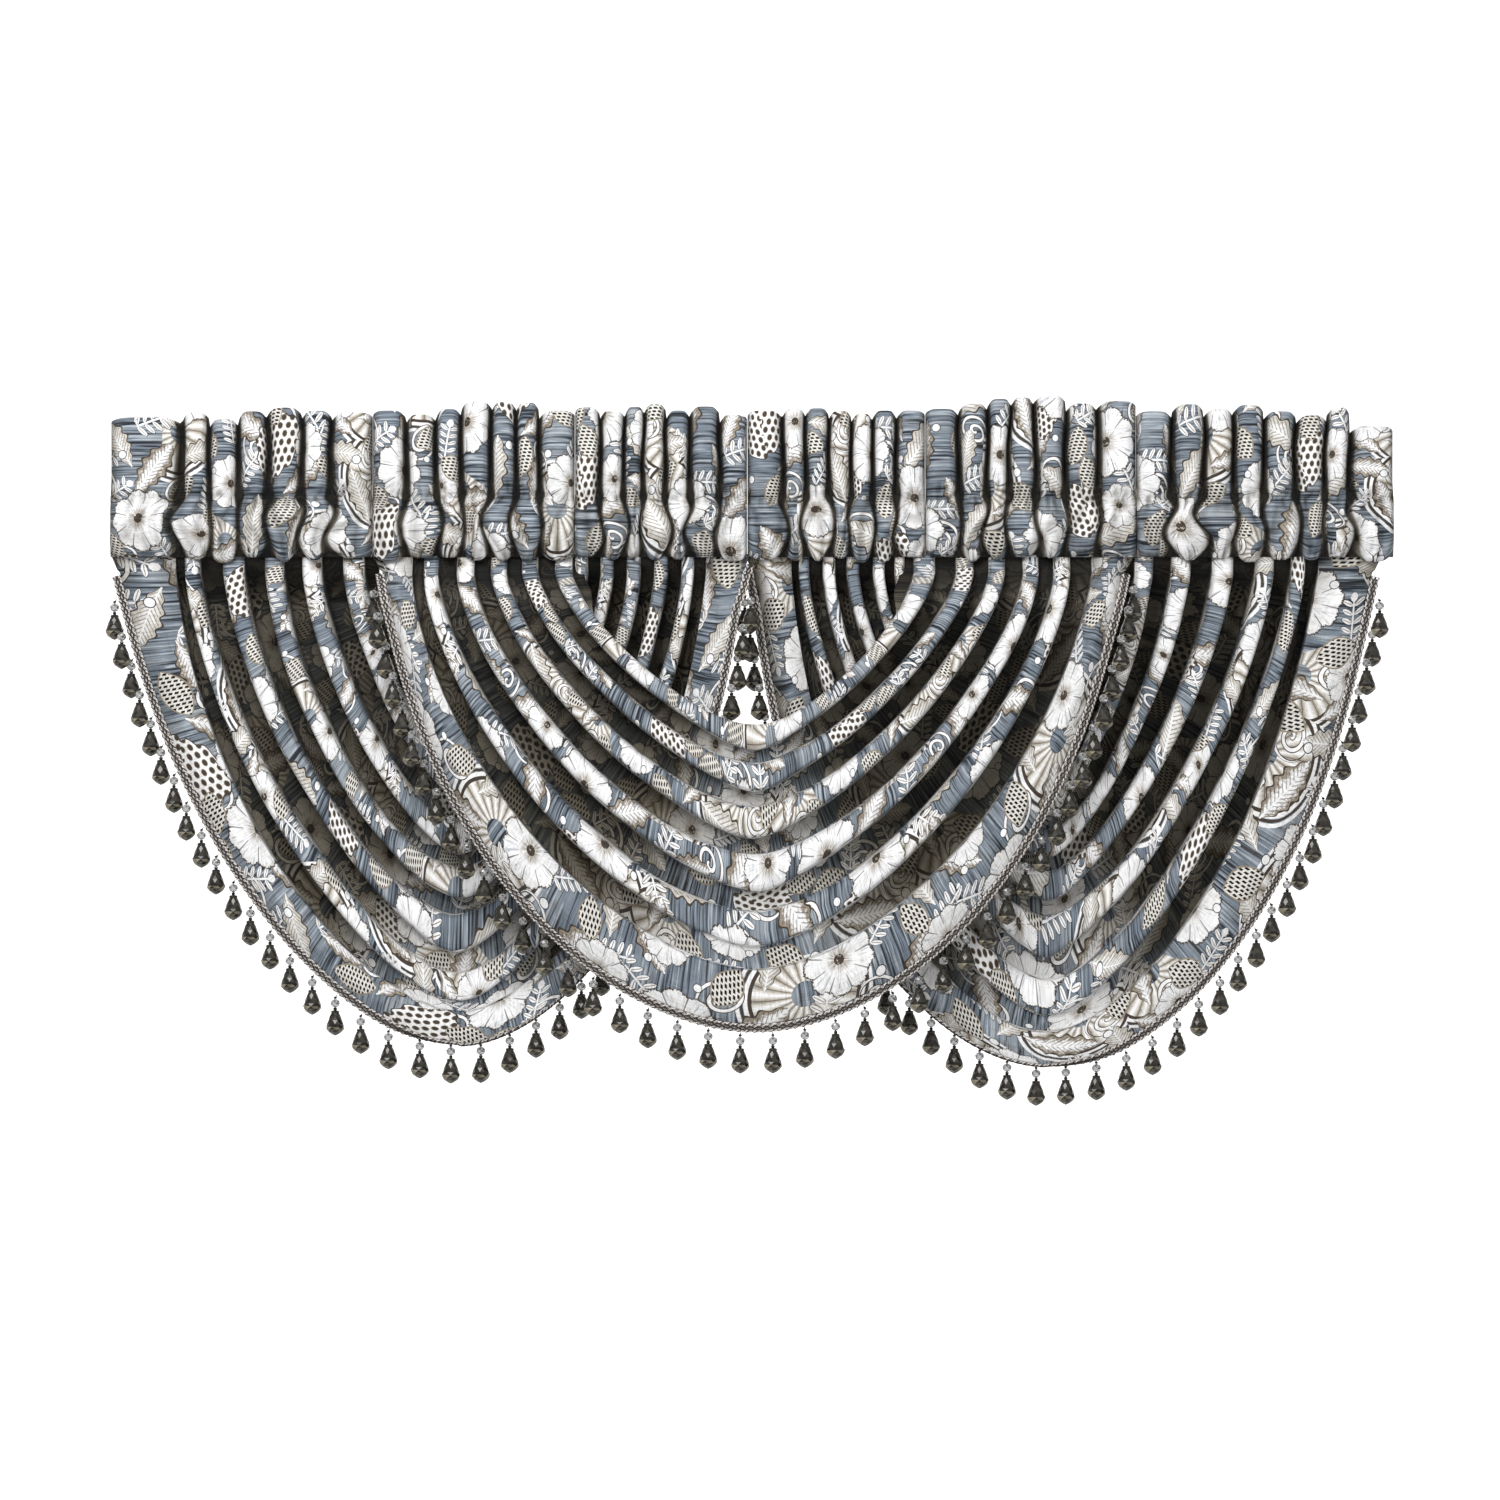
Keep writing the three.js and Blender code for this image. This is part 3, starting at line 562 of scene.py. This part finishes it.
    # Flower: nine streaked petals with dark clefts, in a dark outline, round a dark eye.
    x, y, tone, _ = cloth.fact("flower")
    far = (x * x + y * y).root()
    turn = y.bearing(x)
    lobes = abs((turn * 4.5).sine())
    rays = cloth.noise(cloth.vector(turn * 12, far * 2.0, tone * 9), 1.0, 3.0, 0.75)
    rim = 0.80 + 0.12 * lobes + 0.30 * (rays - 0.5)
    petals = cloth.blend(rays.between(0.52, 0.68), CHALK, MIST)
    petals = cloth.blend((far * 6.0 + rays * 3).sine().between(0.2, 0.9) * 0.35, petals, CREAM)
    petals = cloth.blend((1 - far.between(0.16, 0.42)) * rays.between(0.38, 0.56), petals, TAUPE)
    petals = cloth.blend((lobes < 0.10) * (far > 0.45) * 0.75, petals, BARK)
    lay(far < rim + 0.06, BARK)
    lay(far < rim + 0.02, petals)
    lay((far < 0.14) * (brush > 0.40), BARK)

    # Lattice: a pointed oval filled with dashes that run along the cloth's own threads.
    x, y, _, _ = cloth.fact("lattice")
    width = 1 - x * x
    inside = (width > 0.02) * (abs(y) < width)
    row = s * 235
    dash = ((t * 145 + s * 90 + row.floor() * 0.42).fraction() < 0.66) * (row.fraction() < 0.58)
    lay((width > 0.02) * (abs(y) < width + 0.12), TAUPE)
    lay(inside, CREAM)
    lay(inside * dash, INK)

    # Dot: pale, in a dark ring.
    x, y, _, _ = cloth.fact("dot")
    far = x * x + y * y
    lay(far < 1.5, SLATE)
    lay(far < 1.0, CHALK)

    # Strands and wide soft patches over all of it, then the painted shade of the hollows.
    lay((1 - strand.between(0.36, 0.54)) * 0.22, TAUPE, "MULTIPLY")
    lay(wide.between(0.40, 0.7) * 0.14, TAUPE, "MULTIPLY")
    # Painted shade: the hollow value darkens the colour, and past 1 darkens it further towards the darkest
    # shade.
    painted_shade = cloth.blend(hollow, WHITE, PAINTED_SHADE)
    painted_shade = cloth.blend(hollow.between(0.95, 1.75), painted_shade, DEEPEST_PAINTED_SHADE)
    lay(1.0, painted_shade, "MULTIPLY")
    cloth.put(cloth.surface.inputs["Base Color"], colour)

    # Relief: the weave, the ribs, the brushed figures and small creases.
    weave = (s * 2600).sine() * (t * 2600).sine()
    crease = cloth.noise(place, 55.0, 3.0, 0.55)
    relief = weave * 0.10 + ribs * 0.35 + brush * 0.3 + crease * 2.4
    cloth.put(cloth.surface.inputs["Normal"], cloth.bump(relief, 0.55, 0.0011))
    cloth.put(cloth.surface.inputs["Roughness"], 0.5 + brush * 0.25)
    return cloth.material


JACQUARD = jacquard()

for number, (name, swag) in enumerate(SWAGS.items()):
    shift = [step * number for step in REPEAT_SHIFT]
    piece = cloth_piece(f"{name}_cloth", *swag_surface(swag, seed=11 + number), shift)
    thickness = piece.modifiers.new("cloth", "SOLIDIFY")
    thickness.thickness, thickness.offset = CLOTH_THICKNESS, -1
    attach(piece, "root")
    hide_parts(name)


# ------------------------------ shoulder headings
# Each swag hangs from two headings of the same cloth. A heading is a rod pocket, a tube
# between two rows of stitching that is crumpled where it is pushed together on the rod,
# with a doubled ruffle standing in upright pleats above it.

# The pleats of each heading from left to right, in millimetres: width, top, bulge.
HEADINGS = {
    "left_swag_heading_a": [
        (92, 139, 4), (34, 145, 12), (37, 136, 11), (38, 146, 13), (43, 151, 12), (36, 147, 12),
        (54, 145, 14)],
    "centre_swag_heading_a": [
        (44, 147, 13), (38, 142, 12), (32, 149, 12), (37, 159, 14), (33, 158, 12), (29, 157, 11),
        (45, 147, 13)],
    "left_swag_heading_b": [
        (32, 151, 12), (30, 147, 12), (25, 152, 10), (28, 155, 12), (32, 147, 12), (38, 152, 13),
        (35, 142, 12)],
    "right_swag_heading_a": [
        (46, 147, 13), (28, 150, 11), (31, 150, 12), (28, 147, 11), (26, 143, 10), (31, 147, 12),
        (37, 147, 13)],
    "centre_swag_heading_b": [
        (43, 149, 13), (36, 156, 12), (28, 162, 11), (34, 164, 12), (38, 166, 13), (40, 156, 13),
        (50, 159, 14)],
    "right_swag_heading_b": [
        (45, 146, 13), (41, 155, 13), (39, 149, 12), (38, 154, 13), (40, 146, 13), (38, 141, 12),
        (30, 151, 12), (57, 128, 4)],
}
HEADING_START = -0.818  # left end of the first heading
HEADING_CLEARANCE = 0.0003  # at each end of a heading
HEADING_CUT = (1.5, 0.38)  # times the gathered width, and the whole section's length
HEADING_SHIFT = (0.11, 0.29)  # of the woven design from one heading to the next

# Heights, depths and the amounts of unevenness, in metres, and shares of a pleat's width.
POCKET_FOOT, POCKET_TOP, RUFFLE_FOOT = SEAM + 0.001, 0.0375, 0.0385
POCKET_FRONT, POCKET_REAR, PLIES_APART = -0.004, 0.004, 0.006
SWELL, PLEAT, LOBE, CRUMPLE, PUCKER, CREASE = 0.006, 0.011, 0.005, 0.0024, 0.0036, 0.0065
POCKET_WANDER, RUFFLE_WANDER, SWAY, TUCK = 0.014, 0.0035, 0.0018, 0.0020
POCKET_GAP, RUFFLE_GAP, TIGHT_GAP = 0.10, 0.15, 0.26

PLEAT_STEPS = 21
POCKET_STEPS = np.concatenate([[0, 0.03, 0.06, 0.09, 0.12, 0.16], np.linspace(0.2, 1, 18)])
RUFFLE_STEPS = np.linspace(0, 1, 26)[1:]
TOP_TURN = np.linspace(0, np.pi, 7)[1:-1]
BACK_STEPS = np.linspace(1, 0, 14)
REAR_STEPS = np.linspace(1, 0, 14)[1:]


def heading_surface(pleats, start, seed):
    """One heading as a grid: rows across its pleats, columns round its section, with its
    cloth coordinates and the painted shade of its gaps and tucks.

    The section starts at the lower seam, goes up the front of the pocket and of the
    ruffle, over the top and down behind. With u = |2q - 1| at the share q of a pleat's
    width, its front is (1 - u^3.4)^0.5 of its bulge, and the rest of the width is a gap
    that widens towards the seam. The edges between pleats wander with height."""
    width, top, bulge = (np.array(part) / 1000 for part in zip(*pleats))
    edges = start + np.concatenate([[0], np.cumsum(width)])
    edges[0], edges[-1] = edges[0] + HEADING_CLEARANCE, edges[-1] - HEADING_CLEARANCE
    last = len(width) - 1
    q = np.arange(PLEAT_STEPS) / PLEAT_STEPS
    q = 0.25 * q + 0.375 * (1 - np.cos(np.pi * q))
    share = np.append(np.tile(q, len(width)), 1.0)[:, None]
    which = np.append(np.repeat(np.arange(len(width)), PLEAT_STEPS), last)
    left, right = edges[which][:, None], edges[which + 1][:, None]
    place = left + share * (right - left)
    top, bulge = top[which][:, None], bulge[which][:, None]
    u = np.abs(2 * share - 1)
    side = np.sign(2 * share - 1)
    crest = np.sqrt(np.maximum(1 - u ** 3.4, 0))
    at_end = ((which == 0)[:, None] & (side < 0)) | ((which == last)[:, None] & (side > 0))
    inner = np.where(at_end, 0.35, 1.0)
    tight = np.random.default_rng(seed + 20).uniform(0.2, 1.2, len(width))[which][:, None]

    def spread(gap, height, wander, number):
        """x of the pleats at a height: squeezed by the gap, edges wandering sideways."""
        across = 0.5 * side * (u * (1 - gap * inner) + gap * inner * u ** 12)
        held = lambda edge: (edge > edges[0] + 1e-6) & (edge < edges[-1] - 1e-6)
        loose = lambda edge: wander * ripple(edge * 9.1, height, seed + number, 0.11) * held(edge)
        return left + (right - left) * (0.5 + across) + (1 - share) * loose(left) + share * loose(right)

    # Front of the pocket: lobes, creases and puckers, drooping a little over the seam.
    up = POCKET_STEPS
    swell = np.sin(np.pi * np.clip(up * 1.04 - 0.02, 0, 1)) ** 0.6
    sag = 0.5 + 0.5 * ripple(left * 3, 0 * share, seed + 8, 0.06)
    droop = (-0.003 + (0.005 + 0.012 * sag) * crest) * ramp(0, 0.07, up) * ramp(0.6, 0.07, up)
    pocket_z = POCKET_FOOT + (POCKET_TOP - SEAM) * up - droop
    pocket_z = pocket_z + 0.004 * ripple(left * 2, up * 0.05, seed + 1, 0.06) * np.sin(np.pi * up)
    lobe = 0.5 + 0.5 * ripple(left * 5 + 0.3 * share * (right - left), up * 0.05, seed, 0.045)
    pucker = ripple(place, up * 0.02, seed + 2, 0.013) * (1 - swell ** 2)
    crumple = ripple(place, up * 0.08, seed + 9, 0.026) * swell
    crease = (1 - np.minimum(np.abs(1.2 * ripple(place, up * 0.034, seed + 12, 0.05)), 1)) ** 3
    crease = crease * np.sin(np.pi * up) ** 0.4 * crest
    pocket_y = POCKET_FRONT - swell * (SWELL + (PLEAT + LOBE * lobe) * crest)
    pocket_y = pocket_y + CRUMPLE * crumple + PUCKER * pucker + CREASE * crease
    squeeze = POCKET_GAP + (TIGHT_GAP * (1 - swell) + 0.28 * ramp(0.35, 0, up)) * tight
    pocket_x = spread(squeeze, up * 0.08, POCKET_WANDER * np.sin(np.pi * up), 6)

    # Both plies of the ruffle, up from the pocket's upper seam, over the top and down.
    height = top - 0.003 * (1 - crest) - 0.006 * u ** 6 * inner
    seam = -0.001 - 0.005 * crest
    crown = 0.007 - (0.009 + bulge) * crest

    def ply(part):
        """x, y and z of a ply at the parts of its height, from the seam out to the crown."""
        gap = RUFFLE_GAP + TIGHT_GAP * tight * (1 - part) ** 3
        x = spread(gap, part * 0.11, RUFFLE_WANDER * np.sin(np.pi * part * 0.5), 4)
        y = seam + (crown - seam) * ramp(0, 0.3, part) * (1 - 0.15 * part)
        return x, y, RUFFLE_FOOT + (height - RUFFLE_FOOT) * part

    ruffle, over, rear = RUFFLE_STEPS, TOP_TURN, REAR_STEPS
    sway = SWAY * ripple(left * 4, ruffle * 0.12, seed + 3, 0.07) * crest
    tuck = TUCK * ripple(place, ruffle * 0.05, seed + 5, 0.013) * (1 - ramp(0, 0.3, ruffle))
    ruffle_x, ruffle_y, ruffle_z = ply(ruffle)
    ruffle_y = ruffle_y + sway * ramp(0, 0.3, ruffle) + tuck
    over_y = ruffle_y[:, -1:] + 0.5 * PLIES_APART * (1 - np.cos(over))
    over_z = height + 0.0022 * np.sin(over)
    back_x, back_y, back_z = ply(BACK_STEPS)
    rear_y = POCKET_REAR + np.sin(np.pi * rear) ** 0.5 * (0.0135 + 0.002 * crest)
    rear_z = POCKET_FOOT + (POCKET_TOP - SEAM) * rear

    xs = [pocket_x, ruffle_x, ruffle_x[:, -1:] + 0 * over, back_x, place + 0 * rear]
    ys = [pocket_y, ruffle_y, over_y, back_y + PLIES_APART, rear_y]
    zs = [pocket_z, ruffle_z, over_z, back_z, rear_z]
    points = np.stack([np.hstack([part + 0 * share for part in axis]) for axis in (xs, ys, zs)], -1)
    along = np.cumsum(strides(points, 1).mean(0)) + 0 * points[..., 0]
    mid_ruffle = 40
    across = np.cumsum(strides(points[:, mid_ruffle], 0))[:, None] + 0 * along

    # Painted shade in the gaps between pleats, along the two seams and in the tucks.
    behind = over.size + BACK_STEPS.size + rear.size
    gap = (ramp(0.83, 0.92, u) + 0.8 * ramp(0.90, 0.99, u) + 0.12 * ramp(0.5, 0.86, u)) * inner
    shown = np.concatenate([0.72 + 0.28 * (1 - swell), np.ones(ruffle.size), np.full(behind, 0.6)])
    seams = np.concatenate([0.3 * ramp(0.12, 0.02, up) + 0.5 * ramp(0.86, 1, up),
                            0.5 * ramp(0.13, 0, ruffle), np.zeros(behind)])
    tucked = np.hstack([0.6 * ramp(0.1, 0.8, -pucker) + 0.5 * crease, 0.5 * ramp(0.0003, 0.0016, tuck),
                        np.zeros((len(share), behind))])
    hollow = gap * shown + seams * (0.35 + 0.65 * gap) + tucked
    return points, along, across, hollow


start = HEADING_START
for number, (name, pleats) in enumerate(HEADINGS.items()):
    shift = [step * number for step in HEADING_SHIFT]
    piece = cloth_piece(f"{name}_cloth", *heading_surface(pleats, start, seed=40 + 7 * number), shift)
    width = sum(pleat[0] for pleat in pleats) / 1000
    start += width
    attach(piece, "root")
    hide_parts(name)
    HEADING_CUT[0] * width


# ------------------------------ braid of the fringe
# A braid 10 mm wide is sewn just outside each hem and carries the drops: an off-white
# tape with frilled edges, a black chain down its middle and black stitches along its edges.

BRAID_INNER, BRAID_OUTER = 0.0002, 0.0102  # its edges, outwards from the hem
TAPE_FRONT, TAPE_BACK = 0.0004, 0.0008
BRAID_STEP, BRAID_END = 0.0013, 0.003
CORD_SIDES = 5
TURN_BACK = 1.35  # how far the fringe turns back under the cloth, in radians


def hem_path(swag, distance, tops=(0.0, 0.0)):
    """Points of the hem at distances along it, with the direction of the path and the way
    the fringe points, which is turned back under the cloth along part of the hem. The
    path can go on upwards by tops beyond either end, along the flared edge. Without
    distances, the length of the whole path."""
    angle = np.linspace(0, math.pi, 441)
    x, z, depth = (part[:, 0] for part in fold_place(swag, np.array([0.0]), np.array([0]), angle))
    for end, top in zip((0, -1), tops):
        if top:
            above = FOLD_START + np.linspace(0, top, 8)[1:]
            joined = zip((x, z, depth), (np.full(7, x[end]), above, np.full(7, depth[end])))
            x, z, depth = (np.append(a, b) if end else np.append(b[::-1], a) for a, b in joined)
    line = np.stack([x + edge_spread(swag, x, z), hang(swag, z, depth) + 0.001, z], -1)
    run = np.cumsum(strides(line, 0))
    if distance is None:
        return run[-1]
    at = lambda d: np.stack([np.interp(d, run, line[:, axis]) for axis in range(3)], -1)
    along = at(distance + 0.004) - at(distance - 0.004)
    along = along / np.linalg.norm(along, axis=1)[:, None]
    outward = np.stack([along[:, 2], 0 * distance, -along[:, 0]], -1)
    outward = outward / np.linalg.norm(outward, axis=1)[:, None]
    share = distance / run[-1]
    turn = 0 * share
    for out, under, still, back in swag["turned"]:
        turn = turn + TURN_BACK * ramp(out, under, share) * (1 - ramp(still, back, share))
    way = outward * np.cos(turn)[:, None] + np.stack([0 * turn, np.sin(turn), 0 * turn], -1)
    return at(distance), along, way


def cord_round(path, one, two, radius):
    """A tube along a path: rings of a circle of the given radius in the plane of the
    directions one and two."""
    turn = 2 * np.pi * np.arange(CORD_SIDES) / CORD_SIDES
    ring = one[:, None] * np.cos(turn)[None, :, None] + two[:, None] * np.sin(turn)[None, :, None]
    return path[:, None] + radius * ring


def cord_finish(name, dark, light):
    """Spun cord: fine fibres from dark to light."""
    cord = Finish(name, Roughness=0.7, Sheen_Weight=0.3, Specular_IOR_Level=0.3)
    where = cord.node("ShaderNodeTexCoord").outputs["Object"]
    fibre = cord.noise(where, 900.0, 2.0, 0.6)
    cord.put(cord.surface.inputs["Base Color"], cord.blend(fibre.between(0.35, 0.65), dark, light))
    cord.put(cord.surface.inputs["Normal"], cord.bump(fibre, 0.6, 0.0006))
    return cord.material


BLACK_CORD = cord_finish("black_cord", shade("14110f"), shade("39322d"))
WHITE_CORD = cord_finish("off_white_cord", shade("cbc2bb"), shade("f6f1ed"))


def mesh_piece(name, points, faces, materials, kinds, smooth):
    """A piece from points and faces, with the number of each face's material."""
    mesh = bpy.data.meshes.new(name)
    mesh.from_pydata(points, [], faces)
    for material in materials:
        mesh.materials.append(material)
    mesh.polygons.foreach_set("material_index", kinds)
    mesh.polygons.foreach_set("use_smooth", [smooth] * len(faces))
    return placed(name, mesh)


def join_grids(name, grids, materials):
    """One piece of several tubes of quads, each with its material and end caps."""
    points, faces, kinds, base = [], [], [], 0
    for grid, kind in grids:
        rows, columns = grid.shape[:2]
        index = base + np.arange(rows * columns).reshape(rows, columns)
        turned = np.roll(index, -1, 1)
        quads = np.stack([index[:-1], index[1:], turned[1:], turned[:-1]], -1).reshape(-1, 4)
        faces += quads.tolist() + [index[0].tolist(), index[-1, ::-1].tolist()]
        kinds += [kind] * (len(quads) + 2)
        points.append(grid.reshape(-1, 3))
        base += rows * columns
    return mesh_piece(name, np.concatenate(points), faces, materials, kinds, True)


# Offset from the braid's middle, swing, its period and its phase, height above the hem's
# path, radius, and 0 for black or 1 for off-white: the frilled edges, stitches and chain.
CORD_WEAVE = 0.0007  # how far a cord goes up and down as it swings
BRAID_CORDS = [
    (-0.0037, 0.0011, 0.0052, 0.0, 0.0014, 0.00100, 1),
    (0.0037, 0.0011, 0.0052, math.pi, 0.0014, 0.00100, 1),
    (-0.0036, 0.0015, 0.0100, 0.0, 0.0019, 0.00075, 0),
    (0.0036, 0.0015, 0.0100, math.pi, 0.0019, 0.00075, 0),
    (0.0, 0.0019, 0.0200, 0.0, 0.0022, 0.00100, 0),
    (0.0, 0.0019, 0.0200, math.pi, 0.0022, 0.00100, 0),
]

for name, swag in SWAGS.items():
    length = hem_path(swag, None, swag["braid_top"])
    distance = np.arange(BRAID_END, length - BRAID_END, BRAID_STEP)
    point, along, way = hem_path(swag, distance, swag["braid_top"])
    facing = np.cross(way, along)
    middle = 0.5 * (BRAID_INNER + BRAID_OUTER)
    grids = []
    for offset, swing, period, phase, lift, radius, kind in BRAID_CORDS:
        turn = 2 * np.pi * distance / period + phase
        line = point + way * (middle + offset + swing * np.cos(turn))[:, None]
        line = line + facing * (lift + CORD_WEAVE * np.sin(turn))[:, None]
        grids.append((cord_round(line, way, facing, radius), kind))
    tape = [way * BRAID_INNER + facing * TAPE_FRONT, way * BRAID_OUTER + facing * TAPE_FRONT,
            way * BRAID_OUTER - facing * TAPE_BACK, way * BRAID_INNER - facing * TAPE_BACK]
    grids.append((np.stack([point + corner for corner in tape], 1)[::3], 1))
    piece = join_grids(f"{name}_braid", grids, [BLACK_CORD, WHITE_CORD])
    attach(piece, "root")
    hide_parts(f"{name}_bead_fringe_a", f"{name}_bead_fringe_b")


# ------------------------------ hanging drops
# Each drop is threaded on a short link below the braid: a dark seed bead, a clear faceted
# bead, a second seed bead and a smoky faceted bell that swells to a belly and a point.

# For each bead of a drop its material, its sides, and its rings, in millimetres below the
# drop's root: depth, radius, twist in facets.
DROP_PARTS = {
    "seed": (0, 6, [(1.0, 0.6, 0), (3.0, 0.7, 0), (3.4, 1.7, 0), (4.6, 2.3, 0), (5.8, 1.7, 0), (6.2, 0.7, 0)]),
    "clear": (1, 8, [
        (6.3, 1.2, 0), (8.0, 4.4, 0), (10.2, 5.8, 0.5), (13.0, 5.8, 0), (15.4, 4.4, 0.5), (17.0, 1.2, 0)]),
    "lower_seed": (0, 6, [(17.1, 0.8, 0), (17.6, 2.1, 0), (19.0, 2.6, 0), (20.4, 2.1, 0), (20.9, 0.8, 0)]),
    "bell": (2, 9, [
        (20.6, 1.4, 0), (21.2, 4.4, 0), (22.6, 5.6, 0.5), (24.2, 5.0, 0), (28.0, 7.0, 0.5), (33.0, 8.9, 0),
        (38.0, 10.6, 0.5), (41.5, 11.8, 0), (44.6, 11.5, 0.5), (48.2, 8.8, 0), (51.2, 4.4, 0.5),
        (53.0, 0.4, 0)]),
}
DROP_END = 0.007  # no drop hangs closer than this to the hem's far end
LINK_REACH = 0.0055  # from the root, under the braid, to the line that the drop hangs on
LINK_HEIGHT = 0.004  # over which the link comes across to that line
DROP_SWAY = 0.006  # of every second drop forwards, the others back, on the swag's sides


def bead_finish(name, dark, light, roughness, transmission):
    """Moulded acrylic with painted glints: each facet has its own shade, held in the
    attribute facet, that stands in for light off and through it.
    """
    bead = Finish(name, Roughness=roughness, IOR=1.49, Transmission_Weight=transmission,
                  Specular_IOR_Level=0.35, Coat_Weight=0.15, Coat_Roughness=0.05)
    bead.put(bead.surface.inputs["Base Color"], bead.blend(bead.fact("facet")[0], dark, light))
    return bead.material


# From dark to light: the shades between which the painted facet glints run.
SEED_BEAD = bead_finish("dark_seed_bead", shade("0d0b0a"), shade("2b2622"), 0.2, 0.0)
CLEAR_BEAD = bead_finish("clear_acrylic", shade("3a3835"), shade("e8e8e8"), 0.08, 0.6)
SMOKY_BELL = bead_finish("smoky_acrylic", shade("13110d"), shade("9a927e"), 0.2, 0.0)


def drop_template():
    """Points, faces, material and painted glint shade of each facet of one drop that hangs
    from the origin.

    Each bead is rings of points about the axis. The quads between two rings are cut in
    two, along the diagonal that follows their twist."""
    chance = np.random.default_rng(3)
    points, faces, kinds, glow, base = [], [], [], [], 0
    for part, (kind, sides, rings) in DROP_PARTS.items():
        down, radius, twist = (np.array(column, float) for column in zip(*rings))
        turn = 2 * np.pi * (np.arange(sides)[None, :] + twist[:, None]) / sides
        ring = [radius[:, None] * np.cos(turn), radius[:, None] * np.sin(turn), -down[:, None] + 0 * turn]
        index = base + np.arange(len(rings) * sides).reshape(len(rings), sides)
        for i in range(len(rings) - 1):
            a, d = index[i], index[i + 1]
            b, c = np.roll(a, -1), np.roll(d, -1)
            halves = [(a, d, b), (b, d, c)] if twist[i + 1] > twist[i] else [(a, d, c), (a, c, b)]
            faces += np.transpose(halves, (2, 0, 1)).reshape(-1, 3).tolist()
        faces += [index[0].tolist(), index[-1, ::-1].tolist()]
        added = 2 * (len(rings) - 1) * sides + 2
        # Painted glints: each facet gets a random shade. The bell's own smoky colour is dark, and its lighter
        # facets across the belly are painted glints.
        low = np.repeat(0.5 * (down[:-1] + down[1:]), 2 * sides)
        painted_glint_share = 0.05 + 0.45 * ramp(40, 43, low) * ramp(51, 48, low) if part == "bell" else 0.5 + 0 * low
        shades = np.clip(painted_glint_share * chance.uniform(-0.4, 2.2, len(low)), 0, 1)
        glow += shades.tolist() + [0.3, 0.3]
        kinds += [kind] * added
        points.append(np.stack(ring, -1).reshape(-1, 3) / 1000)
        base += len(rings) * sides
    return np.concatenate(points), faces, kinds, glow


drop_points, drop_faces, drop_kinds, drop_painted_glints = drop_template()
for number, (name, swag) in enumerate(SWAGS.items()):
    distance = np.arange(swag["first_drop"], hem_path(swag, None) - DROP_END, swag["drop_pitch"])
    point, _, way = hem_path(swag, distance)
    root = point + way * BRAID_OUTER
    axis = root + way * LINK_REACH
    axis[:, 2] = root[:, 2]
    axis[:, 1] += DROP_SWAY * np.abs(way[:, 0]) * np.where(np.arange(len(distance)) % 2 == 0, 1, -1)
    turn = np.random.default_rng(80 + number).uniform(0, 0.7, len(distance))
    c, d = np.cos(turn)[:, None], np.sin(turn)[:, None]
    x = drop_points[None, :, 0] * c - drop_points[None, :, 1] * d
    y = drop_points[None, :, 0] * d + drop_points[None, :, 1] * c
    z = np.broadcast_to(drop_points[None, :, 2], x.shape)
    bent = np.clip(1 + z / LINK_HEIGHT, 0, 1)
    drops = np.stack([x, y, z], -1) + axis[:, None] + (root - axis)[:, None] * bent[..., None]
    firsts = len(drop_points) * np.arange(len(distance))
    faces = [[corner + first for corner in face] for first in firsts.tolist() for face in drop_faces]
    piece = mesh_piece(f"{name}_drops", drops.reshape(-1, 3), faces, [SEED_BEAD, CLEAR_BEAD, SMOKY_BELL],
                       drop_kinds * len(distance), False)
    layer = piece.data.attributes.new("facet", "FLOAT_VECTOR", "FACE")
    layer.data.foreach_set("vector", np.repeat(drop_painted_glints * len(distance), 3).astype(np.float32))
    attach(piece, "root")


# ------------------------------ floor, backdrop, light, camera
# A pale floor and backdrop well clear of the valance, large soft lights, and a camera
# square to the valance, far enough back that its perspective is slight.

SIDE, NEAR, FAR, FLOOR, CEILING = 12, -12, 9, -2.6, 7


def staged_plane(name, corners, finish, brightness, glow):
    """A plane of pale paint that isn't part of the valance."""
    paint = Finish(finish, Roughness=0.9, Emission_Strength=glow)
    paint.put(paint.surface.inputs["Base Color"], (brightness,) * 3 + (1,))
    paint.put(paint.surface.inputs["Emission Color"], WHITE)
    mesh_piece(name, corners, [range(len(corners))], [paint.material], [0], False)


back = [(-SIDE, FAR, FLOOR), (SIDE, FAR, FLOOR)]
staged_plane("floor", [(-SIDE, NEAR, FLOOR), (SIDE, NEAR, FLOOR)] + back[::-1], "pale_floor", 0.86, 0.0)
staged_plane("backdrop", back + [(SIDE, FAR, CEILING), (-SIDE, FAR, CEILING)], "pale_wall", 0.9, 0.75)


LIT_POINT = np.array((0, 0, -0.25))


def soft_light(name, place, size, watts):
    """A square lamp that faces the middle of the valance."""
    lamp = bpy.data.lights.new(name, "AREA")
    lamp.shape, lamp.size, lamp.energy = "SQUARE", size, watts
    light = placed(name, lamp)
    light.location = place
    x, y, z = LIT_POINT - place
    light.rotation_euler = (math.atan2(math.hypot(x, y), -z), 0, math.atan2(y, x) - math.pi / 2)


soft_light("key", (-0.9, -2.6, 1.9), 1.6, 104)
soft_light("fill", (2.2, -2.8, 0.2), 2.4, 14)

world = bpy.data.worlds.new("studio")
bpy.context.scene.world = world
world.use_nodes = True
sky = world.node_tree.nodes["Background"].inputs
sky["Color"].default_value, sky["Strength"].default_value = WHITE, 0.5
bpy.context.scene.view_settings.view_transform = "Standard"

FRAME_WIDTH = 1.905  # of the photograph, at the depth of the folds' fronts
FRONT_DEPTH = 0.03
lens = bpy.data.cameras.new("camera")
lens.lens, lens.sensor_width = 135, 36
camera = placed("camera", lens)
camera.location = (-0.0025, -FRAME_WIDTH * lens.lens / lens.sensor_width - FRONT_DEPTH, -0.2832)
camera.rotation_euler = (math.pi / 2, 0, 0)
bpy.context.scene.camera = camera
